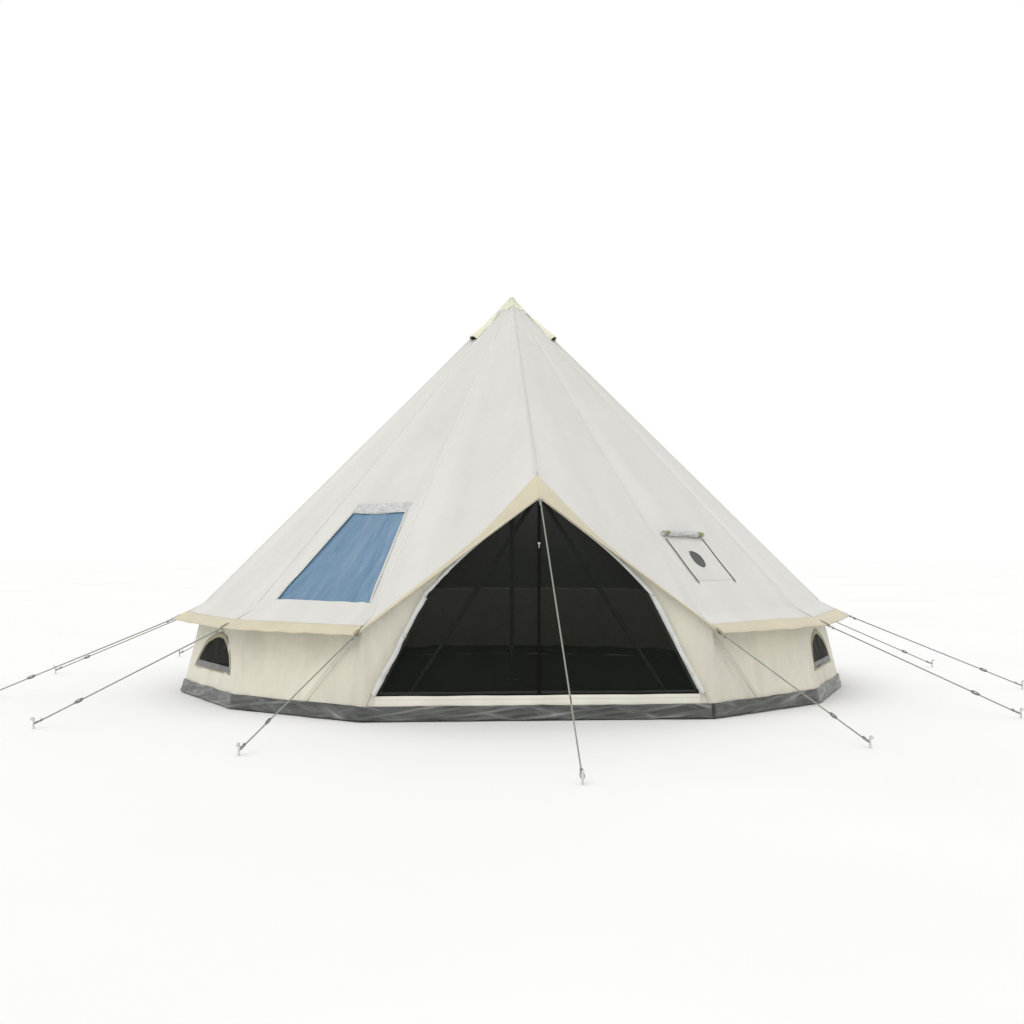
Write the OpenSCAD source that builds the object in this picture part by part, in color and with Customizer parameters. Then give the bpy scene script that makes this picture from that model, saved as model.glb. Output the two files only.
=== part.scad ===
// Bell tent: a canvas roof on one centre pole, low leaning walls, a groundsheet
// with a raised rim, and a mesh door under a peaked hood. Millimetres, +Z up.
// The origin is on the ground below the centre pole; the door faces -Y.

/* [Overall size] */
// Diameter of the wall at the floor, measured across its corners
base_d = 5060; // [4200:10:6100]
// Height of the roof's peak above the ground
tent_h = 3030; // [2500:10:3700]
// Height of the wall, up to the eave seam
wall_h = 640; // [530:5:780]
// How far the wall leans in between the floor and the eave
wall_lean = 150; // [100:5:190]
// Number of equal sides of the full plan; the door takes two of them
sides = 14; // [14]

/* [Canvas] */
// Thickness of the canvas panels
canvas_t = 6; // [4:0.5:8]
// Thickness of the bands and patches sewn on top of the canvas
band_t = 3; // [2:0.5:5]

/* [Eave] */
// How far the brim reaches out past the eave seam
brim_w = 220; // [190:5:270]
// How far the brim drops below the eave seam
brim_drop = 110; // [90:5:135]
// Width of the contrasting edge band of the brim
edge_band_w = 100; // [80:5:120]

/* [Groundsheet] */
// Thickness of the groundsheet
sheet_t = 8; // [6:1:12]
// Height of the raised rim above the ground
rim_h = 100; // [80:5:120]
// How far the rim stands out past the wall
rim_out = 14; // [8:1:20]
// How far the rim reaches in behind the wall's outer face
rim_in = 12; // [10:1:18]

/* [Door] */
// From the lower corner of the door opening to the side of the front
door_side = 93; // [80:1:160]
// How much narrower the opening is on each side at its knees
knee_in = 320; // [255:5:430]
// Height of the knees above the ground
knee_h = 785; // [660:5:830]
// From the peak of the front down to the peak of the door opening
door_drop = 48; // [40:1:110]
// Height of the top of the sill
sill_h = 158; // [135:1:185]
// Thickness of the insect mesh
mesh_t = 3; // [2:0.5:5]
// Width of the zip down the middle of the door
zip_w = 26; // [20:1:40]
// Diameter of the rolled door canvas beside the opening
roll_d = 42; // [30:1:50]

/* [Hood] */
// Height of the front point of the hood
hood_h = 1370; // [1350:5:1600]
// How far the hood reaches out past the door
hood_out = 60; // [50:1:75]
// Depth of the hood's band at the peak, along the ridge in plan
hood_band = 205; // [170:5:250]
// Half the span of the hood's band, where it runs out to a point
hood_band_span = 1000; // [800:10:1080]

/* [Wall windows] */
// Width of a half-moon window
window_w = 750; // [620:5:880]
// Height of a half-moon window
window_h = 222; // [185:1:270]
// Height of the window's bottom edge above the ground
window_z = 215; // [180:1:250]
// Width of the binding sewn round a window
binding_w = 22; // [15:1:30]

/* [Sky window] */
// Length of the window down the slope, measured in plan
sky_run = 570; // [420:5:640]
// From the window's bottom edge to the eave, in plan
sky_gap = 70; // [50:5:200]
// Half the width of the top edge
sky_top_half = 240; // [200:5:285]
// Half the width of the bottom edge
sky_bottom_half = 410; // [340:5:440]
// How far the window's middle is set towards the door
sky_shift = 45; // [0:5:60]
// Width of the hem strip above the window
sky_hem = 62; // [50:1:75]

/* [Stove outlet] */
// Length of the patch down the slope, measured in plan
stove_run = 275; // [240:5:380]
// From the patch's bottom edge to the eave, in plan
stove_gap = 195; // [120:5:260]
// Width of the patch
stove_w = 410; // [350:5:440]
// How far the patch's middle is set towards the door
stove_shift = 120; // [60:5:120]
// Radius of the round lower end of the outlet's cover
cover_r = 52; // [43:1:62]
// Diameter of the rolled flap above the patch
flap_d = 54; // [45:1:65]
// Thickness of the ties round the rolled flap
tie_t = 4; // [3:0.5:5]
// Width of a tie
tie_w = 26; // [20:1:32]

/* [Top of the roof] */
// Radius of the cap over the peak
cap_r = 105; // [85:1:125]
// Distance in plan from the pole to the vent's upper end
vent_top = 130; // [128:1:160]
// Distance in plan from the pole to the vent's mouth
vent_mouth = 345; // [290:1:410]
// Width of a vent
vent_w = 112; // [90:1:135]
// Height of the vent's mouth
vent_h = 58; // [48:1:70]

/* [Poles] */
// Diameter of the centre pole
pole_d = 38; // [32:1:46]
// Diameter of the centre pole's foot plate
foot_d = 90; // [75:1:110]
// Thickness of the foot plate
foot_t = 6; // [4:1:10]
// Diameter of the door frame's tubes
frame_d = 25; // [20:1:30]
// How far the door frame's feet stand in from the door's lower corners
frame_in = 85; // [60:5:200]

/* [Guy lines] */
// Diameter of a guy line
guy_d = 8; // [6:0.5:10]
// How far the pegs stand out past the brim
guy_reach = 1250; // [1040:10:1500]
// How far the front peg stands out past the hood
front_reach = 2060; // [1720:10:2480]
// Diameter of a peg
peg_d = 12; // [10:1:15]
// Height of a peg above the ground
peg_h = 60; // [50:1:75]
// Height at which a guy line meets its peg
peg_tie = 30; // [25:1:40]

/* [Hidden] */
// Gap left where separate pieces rest against each other
seat = 0.3;
$fn = 48;
// Straight stretches in the outline of a curved cut
arc_steps = 24;
step = 360 / sides;
last = sides / 2 - 1;
base_r = base_d / 2;
eave_r = base_r - wall_lean;
brim_r = eave_r + brim_w;
brim_z = wall_h - brim_drop;
seam_r = brim_r - edge_band_w;
seam_z = brim_z + brim_drop * edge_band_w / brim_w;
roof_t = canvas_t * sqrt(2);
// Inwards through the first slanting wall
wall_in = canvas_t * [-sin(1.5 * step), cos(1.5 * step), 0];
eave_mid = eave_r * cos(step / 2);
slope = atan((tent_h - wall_h) / eave_mid);
front_y = base_r * cos(step);
hood_y = front_y + hood_out;
door_w = 2 * (base_r * sin(step) - door_side);
knee_w = door_w - 2 * knee_in;
frame_w = door_w - 2 * frame_in;
sky_bottom = eave_mid - sky_gap;
sky_top = sky_bottom - sky_run;
stove_bottom = eave_mid - stove_gap;
stove_top = stove_bottom - stove_run;

// A point at corner k of the plan, counted from the front towards +X
function ring(r, k, z) = [r * sin(k * step), -r * cos(k * step), z];
function wall_r(z) = base_r - wall_lean * z / wall_h;
function lift(points, h) = [for (p = points) p + [0, 0, h]];
function roof_z(r) = tent_h - (tent_h - wall_h) * r / eave_mid;
function unit(v) = v / norm(v);
function arc(r, from, to) = [
    for (i = [0:arc_steps])
        let (a = from + (to - from) * i / arc_steps) [r * cos(a), r * sin(a)]
];

apex = [0, 0, tent_h];
eave_corner = ring(eave_r, 1, wall_h);
brim_corner = ring(brim_r, 1, brim_z);
hood_point = [0, -hood_y, hood_h];
foot_share = 0.43;
seam_foot = ring(wall_r(rim_h), 1, rim_h) * (1 - foot_share)
    + ring(wall_r(rim_h), 2, rim_h) * foot_share;

// Where the upright front meets the underside of the hood
ridge_z = tent_h - (tent_h - hood_h) * front_y / hood_y;
door_h = ridge_z - door_drop;
crease_part = (hood_y - front_y) / (hood_y + eave_corner[1]);
crease = hood_point + crease_part * (eave_corner - hood_point);
front_part = (front_y + eave_corner[1]) / (eave_corner[1] - brim_corner[1]);
front_top = eave_corner + front_part * (brim_corner - eave_corner);

// Colours
canvas_c = [0.88, 0.87, 0.84];
wall_c = [0.84, 0.82, 0.76];
band_c = [0.83, 0.79, 0.65];
mesh_c = [0.15, 0.17, 0.15];
sheet_c = [0.41, 0.42, 0.42];
sky_c = [0.45, 0.61, 0.76];
rope_c = [0.50, 0.52, 0.47];
steel_c = [0.62, 0.63, 0.64];
silver_c = [0.80, 0.81, 0.80];
dark_c = [0.30, 0.31, 0.31];
strap_c = [0.24, 0.25, 0.22];

// A closed solid through a row of matching outlines; each one runs
// anticlockwise as seen from the next
module sweep(rows) {
    n = len(rows[0]);
    end = (len(rows) - 1) * n;
    polyhedron(
        points = [for (row = rows) for (p = row) p],
        faces = concat(
            [[for (i = [0:n - 1]) i]],
            [[for (i = [n - 1:-1:0]) end + i]],
            [
                for (j = [0:n:end - 1])
                    for (i = [0:n - 1])
                        [j + i, j + n + i, j + n + (i + 1) % n, j + (i + 1) % n]
            ]
        )
    );
}

// A plate folded along the triangles of its outline, which runs
// anticlockwise as seen from the side that shift points to
module folded_plate(outline, shift, folds) {
    n = len(outline);
    polyhedron(
        points = concat(outline, [for (p = outline) p + shift]),
        faces = concat(
            folds,
            [for (f = folds) [f[2] + n, f[1] + n, f[0] + n]],
            [for (i = [0:n - 1]) [i, n + i, n + (i + 1) % n, (i + 1) % n]]
        )
    );
}

// The section at corner k of a plate that runs round the tent
function rung(k, inner, outer, inner_up, outer_up) = [
    ring(inner[0], k, inner[1]), ring(inner_up[0], k, inner_up[1]),
    ring(outer_up[0], k, outer_up[1]), ring(outer[0], k, outer[1])
];

module gore(k, level, thick) {
    outline = [apex, ring(eave_r, k, wall_h), ring(eave_r, k + 1, wall_h)];
    sweep([lift(outline, level), lift(outline, level + thick)]);
}

// The canvas part of the brim below gore k
module gore_brim(k) {
    outline = [
        ring(eave_r, k, wall_h), ring(seam_r, k, seam_z),
        ring(seam_r, k + 1, seam_z), ring(eave_r, k + 1, wall_h)
    ];
    sweep([outline, lift(outline, roof_t)]);
}

// The right half of the hood over the door
module hood_half(level, thick) {
    outline = [apex, hood_point, brim_corner, eave_corner];
    folded_plate(lift(outline, level), [0, 0, thick], [[0, 1, 3], [1, 2, 3]]);
}

// Children are drawn in the plane of gore k: u across it, r out from the pole
module in_gore(k) {
    rotate([0, 0, (k + 0.5) * step])
        linear_extrude(tent_h * 1.2)
            children();
}

// Children stand on the outer face of gore k, +Y up the slope, +Z away from it
module on_gore(k, u, r) {
    rotate([0, 0, (k + 0.5) * step])
        translate([u, -r, roof_z(r) + roof_t])
            rotate([slope, 0, 0])
                children();
}

module rod(p, q, d) {
    v = q - p;
    translate(p)
        rotate([0, acos(v[2] / norm(v)), atan2(v[1], v[0])])
            cylinder(d = d, h = norm(v), $fn = 24);
}

module both_sides() {
    children();
    mirror([1, 0, 0])
        children();
}

// Groundsheet and its rim

module ground_sheet() {
    color(sheet_c)
        linear_extrude(sheet_t)
            polygon([
                for (k = [1:sides - 1])
                    let (p = ring(base_r + rim_out, k, 0)) [p[0], p[1]]
            ]);
}

module sheet_rim_front() {
    outline = [
        for (c = [[-1, -rim_in], [-1, rim_out], [1, rim_out], [1, -rim_in]])
            let (p = ring(base_r + c[1], c[0], 0)) [p[0], p[1]]
    ];
    color(sheet_c)
        translate([0, 0, sheet_t])
            linear_extrude(rim_h - sheet_t)
                polygon(outline);
}

module rim_side() {
    low = wall_r(sheet_t);
    high = wall_r(rim_h);
    color(sheet_c)
        sweep([
            for (k = [1:last + 1])
                rung(
                    k, [low - rim_in, sheet_t], [low + rim_out, sheet_t],
                    [high - rim_in, rim_h], [high + rim_out, rim_h]
                )
        ]);
}

module sheet_rim_left() {
    mirror([1, 0, 0])
        rim_side();
}

module sheet_rim_right() {
    rim_side();
}

// Walls

// The section of a wall at corner k, between two offsets from its outer face
function wall_rung(k, inner, outer) =
    let (low = wall_r(rim_h), from = inner / cos(step / 2), to = outer / cos(step / 2))
        rung(k, [low + from, rim_h], [low + to, rim_h], [eave_r + from, wall_h], [eave_r + to, wall_h]);

// The right wall starts at the diagonal front seam
first_rung = [
    seam_foot + wall_in, eave_corner + wall_in, eave_corner, seam_foot
];

module wall(first, end) {
    corners = [for (k = [first:end]) wall_rung(k, -canvas_t, 0)];
    sweep(first == 2 ? concat([first_rung], corners) : corners);
}

module wall_layer(k, inner, outer) {
    sweep([wall_rung(k, inner, outer), wall_rung(k + 1, inner, outer)]);
}

module half_moon(w, h) {
    r = (w * w / 4 + h * h) / (2 * h);
    start = asin(1 - h / r);
    translate([0, h - r])
        polygon(arc(r, start, 180 - start));
}

// A half-moon prism through wall k, larger by grow on every side
module window_cut(k, grow) {
    rotate([0, 0, (k + 0.5) * step])
        translate([0, -base_r / 2, window_z - grow])
            rotate([90, 0, 0])
                linear_extrude(base_r)
                    half_moon(window_w + 2 * grow, window_h + 2 * grow);
}

module wall_front() {
    color(wall_c)
        difference() {
            wall(2, 3);
            window_cut(2, 0);
        }
}

module wall_side() {
    color(wall_c)
        difference() {
            wall(3, 5);
            window_cut(4, 0);
        }
}

module wall_back() {
    color(wall_c)
        wall(5, 7);
}

module wall_left_front() {
    mirror([1, 0, 0])
        wall_front();
}

module wall_left_side() {
    mirror([1, 0, 0])
        wall_side();
}

module wall_left_back() {
    mirror([1, 0, 0])
        wall_back();
}

module wall_right_front() {
    wall_front();
}

module wall_right_side() {
    wall_side();
}

module wall_right_back() {
    wall_back();
}

window_walls = [-5, -3, 2, 4];

module window_meshes() {
    color(mesh_c)
        for (k = window_walls)
            intersection() {
                wall_layer(k, -canvas_t, -canvas_t + mesh_t);
                window_cut(k, 0);
            }
}

module window_bindings() {
    color(band_c)
        for (k = window_walls)
            difference() {
                intersection() {
                    wall_layer(k, 0, band_t);
                    window_cut(k, binding_w);
                }
                window_cut(k, 0);
            }
}

// Front with the door

// Closes the front between the upright panel and the diagonal seam
module gusset() {
    bottom = [base_r * sin(step), -front_y, rim_h];
    outline = [front_top, bottom, seam_foot, eave_corner];
    folded_plate([for (p = outline) p + wall_in], -wall_in, [[0, 1, 2], [0, 2, 3]]);
}

module front_gusset_left() {
    color(wall_c)
        mirror([1, 0, 0])
            gusset();
}

module front_gusset_right() {
    color(wall_c)
        gusset();
}

// Children are drawn as seen from the front; depth runs inwards from the front
module in_front(depth, thick) {
    translate([0, depth + thick - front_y, 0])
        rotate([90, 0, 0])
            linear_extrude(thick)
                children();
}

module front_panel() {
    difference() {
        in_front(0, canvas_t)
            polygon([
                [door_w / 2, rim_h], [base_r * sin(step), rim_h],
                [front_top[0], front_top[2]], [crease[0], crease[2]], [0, ridge_z],
                [0, door_h], [knee_w / 2, knee_h], [door_w / 2, sill_h]
            ]);
        // Bevelled to meet the gusset
        translate([base_r * sin(step), -front_y, 0])
            rotate([0, 0, 1.5 * step])
                translate([0, -canvas_t, 0])
                    cube([2 * canvas_t, 4 * canvas_t, tent_h]);
    }
}

module front_panel_left() {
    color(wall_c)
        mirror([1, 0, 0])
            front_panel();
}

module front_panel_right() {
    color(wall_c)
        front_panel();
}

module door_outline() {
    polygon([
        [-door_w / 2, sill_h], [door_w / 2, sill_h], [knee_w / 2, knee_h],
        [0, door_h], [-knee_w / 2, knee_h]
    ]);
}

module door_mesh_half() {
    in_front((canvas_t - mesh_t) / 2, mesh_t)
        intersection() {
            door_outline();
            translate([zip_w / 2, 0])
                square([door_w, tent_h]);
        }
}

module door_mesh_left() {
    color(mesh_c)
        mirror([1, 0, 0])
            door_mesh_half();
}

module door_mesh_right() {
    color(mesh_c)
        door_mesh_half();
}

module door_zip() {
    color(dark_c)
        in_front(0, canvas_t)
            intersection() {
                door_outline();
                translate([-zip_w / 2, 0])
                    square([zip_w, tent_h]);
            }
}

module door_sill() {
    color(band_c)
        in_front(0, canvas_t)
            translate([-door_w / 2, rim_h])
                square([door_w, sill_h - rim_h]);
}

// The outer door canvas, rolled up beside the lower sides of the opening
module door_rolls() {
    side = [door_w - knee_w, sill_h - knee_h] * 0.5;
    run = unit([(door_w - knee_w) / 2, 0, sill_h - knee_h]);
    across = [-run[2], 0, run[0]];
    y = -front_y - roll_d / 2 - seat;
    top = [knee_w / 2, y, knee_h] + across * roll_d * 0.6 + run * roll_d / 2;
    bottom = [door_w / 2, y, sill_h] + across * roll_d * 0.6 - run * roll_d;
    color(silver_c)
        both_sides()
            rod(top, bottom, roll_d);
}

module door_frame() {
    knob_r = frame_d * 0.7;
    y = -front_y + canvas_t + knob_r + seat;
    hood_normal = unit(cross(hood_point - apex, eave_corner - apex));
    roof_at = tent_h + (tent_h - hood_h) * y / hood_y;
    top = [0, y, roof_at - (knob_r + seat) / hood_normal[2]];
    color(steel_c)
        difference() {
            union() {
                translate(top)
                    sphere(knob_r);
                both_sides()
                    rod(top, [frame_w / 2, y, -frame_d], frame_d);
            }
            translate([-frame_w, y - frame_w, sheet_t - frame_w])
                cube([2 * frame_w, 2 * frame_w, frame_w]);
        }
}

module centre_pole() {
    color(steel_c) {
        translate([0, 0, sheet_t])
            cylinder(d = foot_d, h = foot_t);
        translate([0, 0, sheet_t])
            cylinder(d = pole_d, h = roof_z(pole_d / 2) - seat - sheet_t);
    }
}

// Roof

module roof_pair(k, sky) {
    difference() {
        for (i = [k, k + 1]) {
            gore(i, 0, roof_t);
            gore_brim(i);
        }
        if (sky)
            in_gore(-2)
                sky_outline();
    }
}

module roof_left_front() {
    color(canvas_c)
        roof_pair(-3, true);
}

module roof_left_side() {
    color(canvas_c)
        roof_pair(-5, false);
}

module roof_left_back() {
    color(canvas_c)
        roof_pair(-7, false);
}

module roof_right_front() {
    color(canvas_c)
        roof_pair(1, false);
}

module roof_right_side() {
    color(canvas_c)
        roof_pair(3, false);
}

module roof_right_back() {
    color(canvas_c)
        roof_pair(5, false);
}

module hood_left() {
    color(canvas_c)
        mirror([1, 0, 0])
            hood_half(0, roof_t);
}

module hood_right() {
    color(canvas_c)
        hood_half(0, roof_t);
}

module hood_band_trim() {
    color(band_c)
        both_sides()
            intersection() {
                hood_half(roof_t, band_t);
                linear_extrude(tent_h)
                    polygon([
                        [0, -hood_y - brim_w], [0, hood_band - hood_y],
                        [hood_band_span, -hood_y], [hood_band_span, -hood_y - brim_w]
                    ]);
            }
}

module eave_band() {
    color(band_c)
        sweep([
            for (k = [1:last + 1])
                rung(
                    k, [seam_r, seam_z], [brim_r, brim_z],
                    [seam_r, seam_z + roof_t], [brim_r, brim_z + roof_t]
                )
        ]);
}

module eave_band_left() {
    mirror([1, 0, 0])
        eave_band();
}

module eave_band_right() {
    eave_band();
}

module apex_cap() {
    color(band_c)
        intersection() {
            union() {
                for (k = [1:sides - 2])
                    gore(k, roof_t, band_t * 2);
                both_sides()
                    hood_half(roof_t, band_t * 2);
            }
            cylinder(r = cap_r, h = tent_h * 1.2);
        }
}

vent_gores = [-5, -3, 2, 4];

module vent_hoods() {
    run = (vent_mouth - vent_top) / cos(slope);
    color(band_c)
        for (k = vent_gores)
            on_gore(k, 0, vent_mouth)
                translate([-vent_w / 2, 0, 0])
                    rotate([90, 0, 90])
                        linear_extrude(vent_w)
                            polygon([[0, 0], [run, 0], [0, vent_h]]);
}

module vent_meshes() {
    margin = band_t * 2;
    color(mesh_c)
        for (k = vent_gores)
            on_gore(k, 0, vent_mouth)
                translate([margin - vent_w / 2, -mesh_t, 0])
                    cube([vent_w - 2 * margin, mesh_t, vent_h - margin]);
}

// Sky window, on the gore left of the door

module sky_outline() {
    polygon([
        [sky_shift - sky_top_half, -sky_top], [sky_shift + sky_top_half, -sky_top],
        [sky_shift + sky_bottom_half, -sky_bottom],
        [sky_shift - sky_bottom_half, -sky_bottom]
    ]);
}

module sky_window() {
    color(sky_c)
        intersection() {
            gore(-2, 0, roof_t);
            in_gore(-2)
                sky_outline();
        }
}

module sky_window_hem() {
    color(silver_c)
        intersection() {
            gore(-2, roof_t, band_t);
            in_gore(-2)
                translate([sky_shift - sky_top_half, -sky_top])
                    square([2 * sky_top_half, sky_hem]);
        }
}

// Stove outlet, on the gore right of the door

module stove_outline() {
    translate([-stove_shift - stove_w / 2, -stove_bottom])
        square([stove_w, stove_bottom - stove_top]);
}

module stove_patch() {
    color(canvas_c)
        intersection() {
            gore(1, roof_t, band_t);
            in_gore(1)
                stove_outline();
        }
}

module stove_cover() {
    middle = (stove_top + stove_bottom) / 2;
    color(dark_c)
        intersection() {
            gore(1, roof_t + band_t, band_t);
            in_gore(1)
                translate([-stove_shift, -middle])
                    polygon(concat(arc(cover_r, 180, 450), [[-cover_r, cover_r]]));
        }
}

flap_up = flap_d / 2 + seat + tie_t + seat;

module stove_flap_roll() {
    color(silver_c)
        on_gore(1, -stove_shift, stove_top)
            translate([-stove_w / 2, flap_d, flap_up])
                rotate([0, 90, 0])
                    cylinder(d = flap_d, h = stove_w);
}

module stove_flap_ties() {
    color(strap_c)
        for (side = [-1, 1])
            on_gore(1, -stove_shift + side * (stove_w / 2 - tie_w), stove_top)
                translate([-tie_w / 2, flap_d, flap_up])
                    rotate([0, 90, 0])
                        difference() {
                            cylinder(d = flap_d + 2 * seat + 2 * tie_t, h = tie_w);
                            translate([0, 0, -1])
                                cylinder(d = flap_d + 2 * seat, h = tie_w + 2);
                        }
}

// Guy lines and pegs

// A guy line from a corner of the roof's edge straight out to its peg;
// start_r and peg_r are measured from the pole, at start_z and peg_tie
module guy(angle, start_r, start_z, peg_r) {
    tilt = atan((start_z - peg_tie) / (peg_r - start_r));
    clear = guy_d / 2 * sin(tilt) + seat;
    rotate([0, 0, angle])
        rod(
            [0, -start_r - clear, start_z],
            [0, -peg_r + peg_d / 2 + clear, peg_tie],
            guy_d
        );
}

module front_guy_line() {
    color(rope_c)
        guy(0, hood_y, hood_h + roof_t / 2, hood_y + front_reach);
}

guy_corners = [for (k = [1:sides - 1]) k];

module guy_lines() {
    color(rope_c)
        for (k = guy_corners)
            guy(k * step, brim_r, brim_z + roof_t / 2, brim_r + guy_reach);
}

module pegs() {
    color(steel_c) {
        for (k = guy_corners)
            translate(ring(brim_r + guy_reach, k, 0))
                cylinder(d = peg_d, h = peg_h);
        translate([0, -hood_y - front_reach, 0])
            cylinder(d = peg_d, h = peg_h);
    }
}

ground_sheet();
sheet_rim_front();
sheet_rim_left();
sheet_rim_right();
wall_left_front();
wall_left_side();
wall_left_back();
wall_right_front();
wall_right_side();
wall_right_back();
front_gusset_left();
front_gusset_right();
front_panel_left();
front_panel_right();
roof_left_front();
roof_left_side();
roof_left_back();
roof_right_front();
roof_right_side();
roof_right_back();
hood_left();
hood_right();
hood_band_trim();
eave_band_left();
eave_band_right();
door_mesh_left();
door_mesh_right();
door_zip();
door_sill();
door_rolls();
door_frame();
centre_pole();
apex_cap();
vent_hoods();
vent_meshes();
sky_window();
sky_window_hem();
stove_patch();
stove_cover();
stove_flap_roll();
stove_flap_ties();
window_meshes();
window_bindings();
front_guy_line();
guy_lines();
pegs();
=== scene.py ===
import math

import bmesh
import bpy
import numpy as np
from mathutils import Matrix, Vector


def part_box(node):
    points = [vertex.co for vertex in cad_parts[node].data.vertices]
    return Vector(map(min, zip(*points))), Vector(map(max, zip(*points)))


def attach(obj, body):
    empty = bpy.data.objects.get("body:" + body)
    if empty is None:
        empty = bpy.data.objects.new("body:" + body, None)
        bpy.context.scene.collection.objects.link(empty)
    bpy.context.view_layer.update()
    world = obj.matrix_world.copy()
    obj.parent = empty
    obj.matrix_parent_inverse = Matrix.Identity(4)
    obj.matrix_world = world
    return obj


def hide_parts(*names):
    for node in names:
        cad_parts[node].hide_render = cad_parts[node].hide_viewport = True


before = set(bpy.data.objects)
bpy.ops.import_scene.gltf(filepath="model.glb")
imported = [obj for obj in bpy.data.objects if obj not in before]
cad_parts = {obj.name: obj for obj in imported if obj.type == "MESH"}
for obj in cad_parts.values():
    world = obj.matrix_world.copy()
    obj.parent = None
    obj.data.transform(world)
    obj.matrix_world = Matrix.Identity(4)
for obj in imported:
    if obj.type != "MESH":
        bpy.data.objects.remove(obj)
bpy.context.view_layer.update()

# Driving sizes, worked out from the frame (metres)

SIDES = 14
STEP = 2 * math.pi / SIDES
LAST = SIDES // 2


def low(node):
    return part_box(node)[0]


def high(node):
    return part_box(node)[1]


PANEL = low("front_panel_right"), high("front_panel_right")
BASE_R = PANEL[1].x / math.sin(STEP)
FRONT_Y = -PANEL[0].y
RIM_H = high("sheet_rim_front").z
SHEET_T = high("ground_sheet").z
WALL_H = high("wall_right_back").z
WALL_FOOT_R = high("wall_right_back").y
EAVE_R = BASE_R - (BASE_R - WALL_FOOT_R) * WALL_H / RIM_H
BRIM_R = high("eave_band_right").y
BRIM_Z = low("eave_band_right").z
SEAM_R = high("roof_right_back").y
TOP_Z = high("hood_right").z
HOOD_Y = -low("hood_right").y
DOOR_W = 2 * high("door_sill").x
SILL_Z = high("door_sill").z
DOOR_TOP = high("door_zip").z
HOOD_TIP_Z = high("front_guy_line").z

# Sizes that the boxes don't show
ROOF_T = 0.0085
KNEE_INSET = 0.320  # how far the opening has narrowed on each side at the knee
KNEE_Z = 0.785
SEAM_SHARE = 0.43
WINDOW_W = 0.75

rng = np.random.default_rng(14)
LATTICE = rng.uniform(-1, 1, (8, 64, 64))


def noise(x, y, layer=0):
    """Smooth noise from -1 to 1 on a repeating lattice."""
    x, y = np.broadcast_arrays(np.asarray(x, float), np.asarray(y, float))
    cell_x, cell_y = np.floor(x).astype(int), np.floor(y).astype(int)
    part_x, part_y = x - cell_x, y - cell_y
    part_x = part_x * part_x * (3 - 2 * part_x)
    part_y = part_y * part_y * (3 - 2 * part_y)
    grid = LATTICE[layer % 8]

    def at(dx, dy):
        return grid[(cell_x + dx) % 64, (cell_y + dy) % 64]

    near = at(0, 0) * (1 - part_x) + at(1, 0) * part_x
    far = at(0, 1) * (1 - part_x) + at(1, 1) * part_x
    return near * (1 - part_y) + far * part_y


def ridged(x, y, layer=0):
    """Noise with sharp crests, from 0 to 1, for creases in cloth."""
    return 1 - np.abs(noise(x, y, layer))


def corner(r, k, z):
    return np.array([r * math.sin(k * STEP), -r * math.cos(k * STEP), z])


def lerp(a, b, t):
    return a + (b - a) * t


def unit(v):
    length = np.linalg.norm(v, axis=-1, keepdims=True)
    return v / np.maximum(length, 1e-9)


# Mesh helpers


def finish_mesh(name, bm, material, smooth=True):
    mesh = bpy.data.meshes.new(name)
    bm.to_mesh(mesh)
    bm.free()
    obj = bpy.data.objects.new(name, mesh)
    bpy.context.collection.objects.link(obj)
    mesh.materials.append(material)
    for face in mesh.polygons:
        face.use_smooth = smooth
    return obj


def add_grid(bm, points, uv=None, closed=False):
    """Adds a rows x columns grid of points, with UVs in metres, and returns its faces."""
    rows, cols = points.shape[:2]
    layer = bm.loops.layers.uv.verify()
    verts = [[bm.verts.new(points[r, c]) for c in range(cols)] for r in range(rows)]
    if uv is None:
        along = np.linalg.norm(np.diff(points, axis=1), axis=2).mean(0)
        uv = mesh_uv(along, np.linalg.norm(np.diff(points, axis=0), axis=2).mean(1))
    made = []
    for r in range(rows - 1):
        for c in range(cols if closed else cols - 1):
            d = (c + 1) % cols
            face = bm.faces.new((verts[r][c], verts[r][d], verts[r + 1][d], verts[r + 1][c]))
            for loop, (i, j) in zip(face.loops, ((r, c), (r, d), (r + 1, d), (r + 1, c))):
                loop[layer].uv = uv[i, j]
            made.append(face)
    return made


def mesh_uv(along, across):
    """UVs from the lengths of the steps along a grid's rows and across them."""
    u = np.concatenate([[0], np.cumsum(along)])
    v = np.concatenate([[0], np.cumsum(across)])
    return np.stack(np.meshgrid(u, v), axis=2)


def metres_uv(points):
    """UVs in metres: lengths along the longest row, and down the mean column."""
    along = np.linalg.norm(np.diff(points, axis=1), axis=2).max(0)
    return mesh_uv(along, np.linalg.norm(np.diff(points, axis=0), axis=2).mean(1))


def strip_uv(points):
    """UVs in metres along the middle of a strip and across it."""
    along = np.linalg.norm(np.diff(points.mean(0), axis=0), axis=1)
    return mesh_uv(along, np.linalg.norm(np.diff(points, axis=0), axis=2).mean(1))


def tube(path, radius, sides=10):
    """Rings of points round a path; radius may vary along it."""
    path = np.asarray(path, float)
    radius = np.broadcast_to(np.asarray(radius, float), (len(path),))
    tangent = unit(np.gradient(path, axis=0))
    side = unit(np.cross(tangent[0], [0.13, 0.31, 0.94]))
    rings = []
    for p, t, r in zip(path, tangent, radius):
        side = unit(side - t * (side @ t))
        up = np.cross(t, side)
        a = np.linspace(0, 2 * np.pi, sides, endpoint=False)[:, None]
        rings.append(p + r * (np.cos(a) * side + np.sin(a) * up))
    return np.array(rings)


def turns(count):
    """Angles once round, with the first again at the end."""
    return np.linspace(0, 2 * math.pi, count)


def raised(half, step, edge, middle):
    """Offsets across a strip with the height of each: low at both edges, raised between them."""
    return (-half, edge), (-step, middle), (step, middle), (half, edge)


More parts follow.
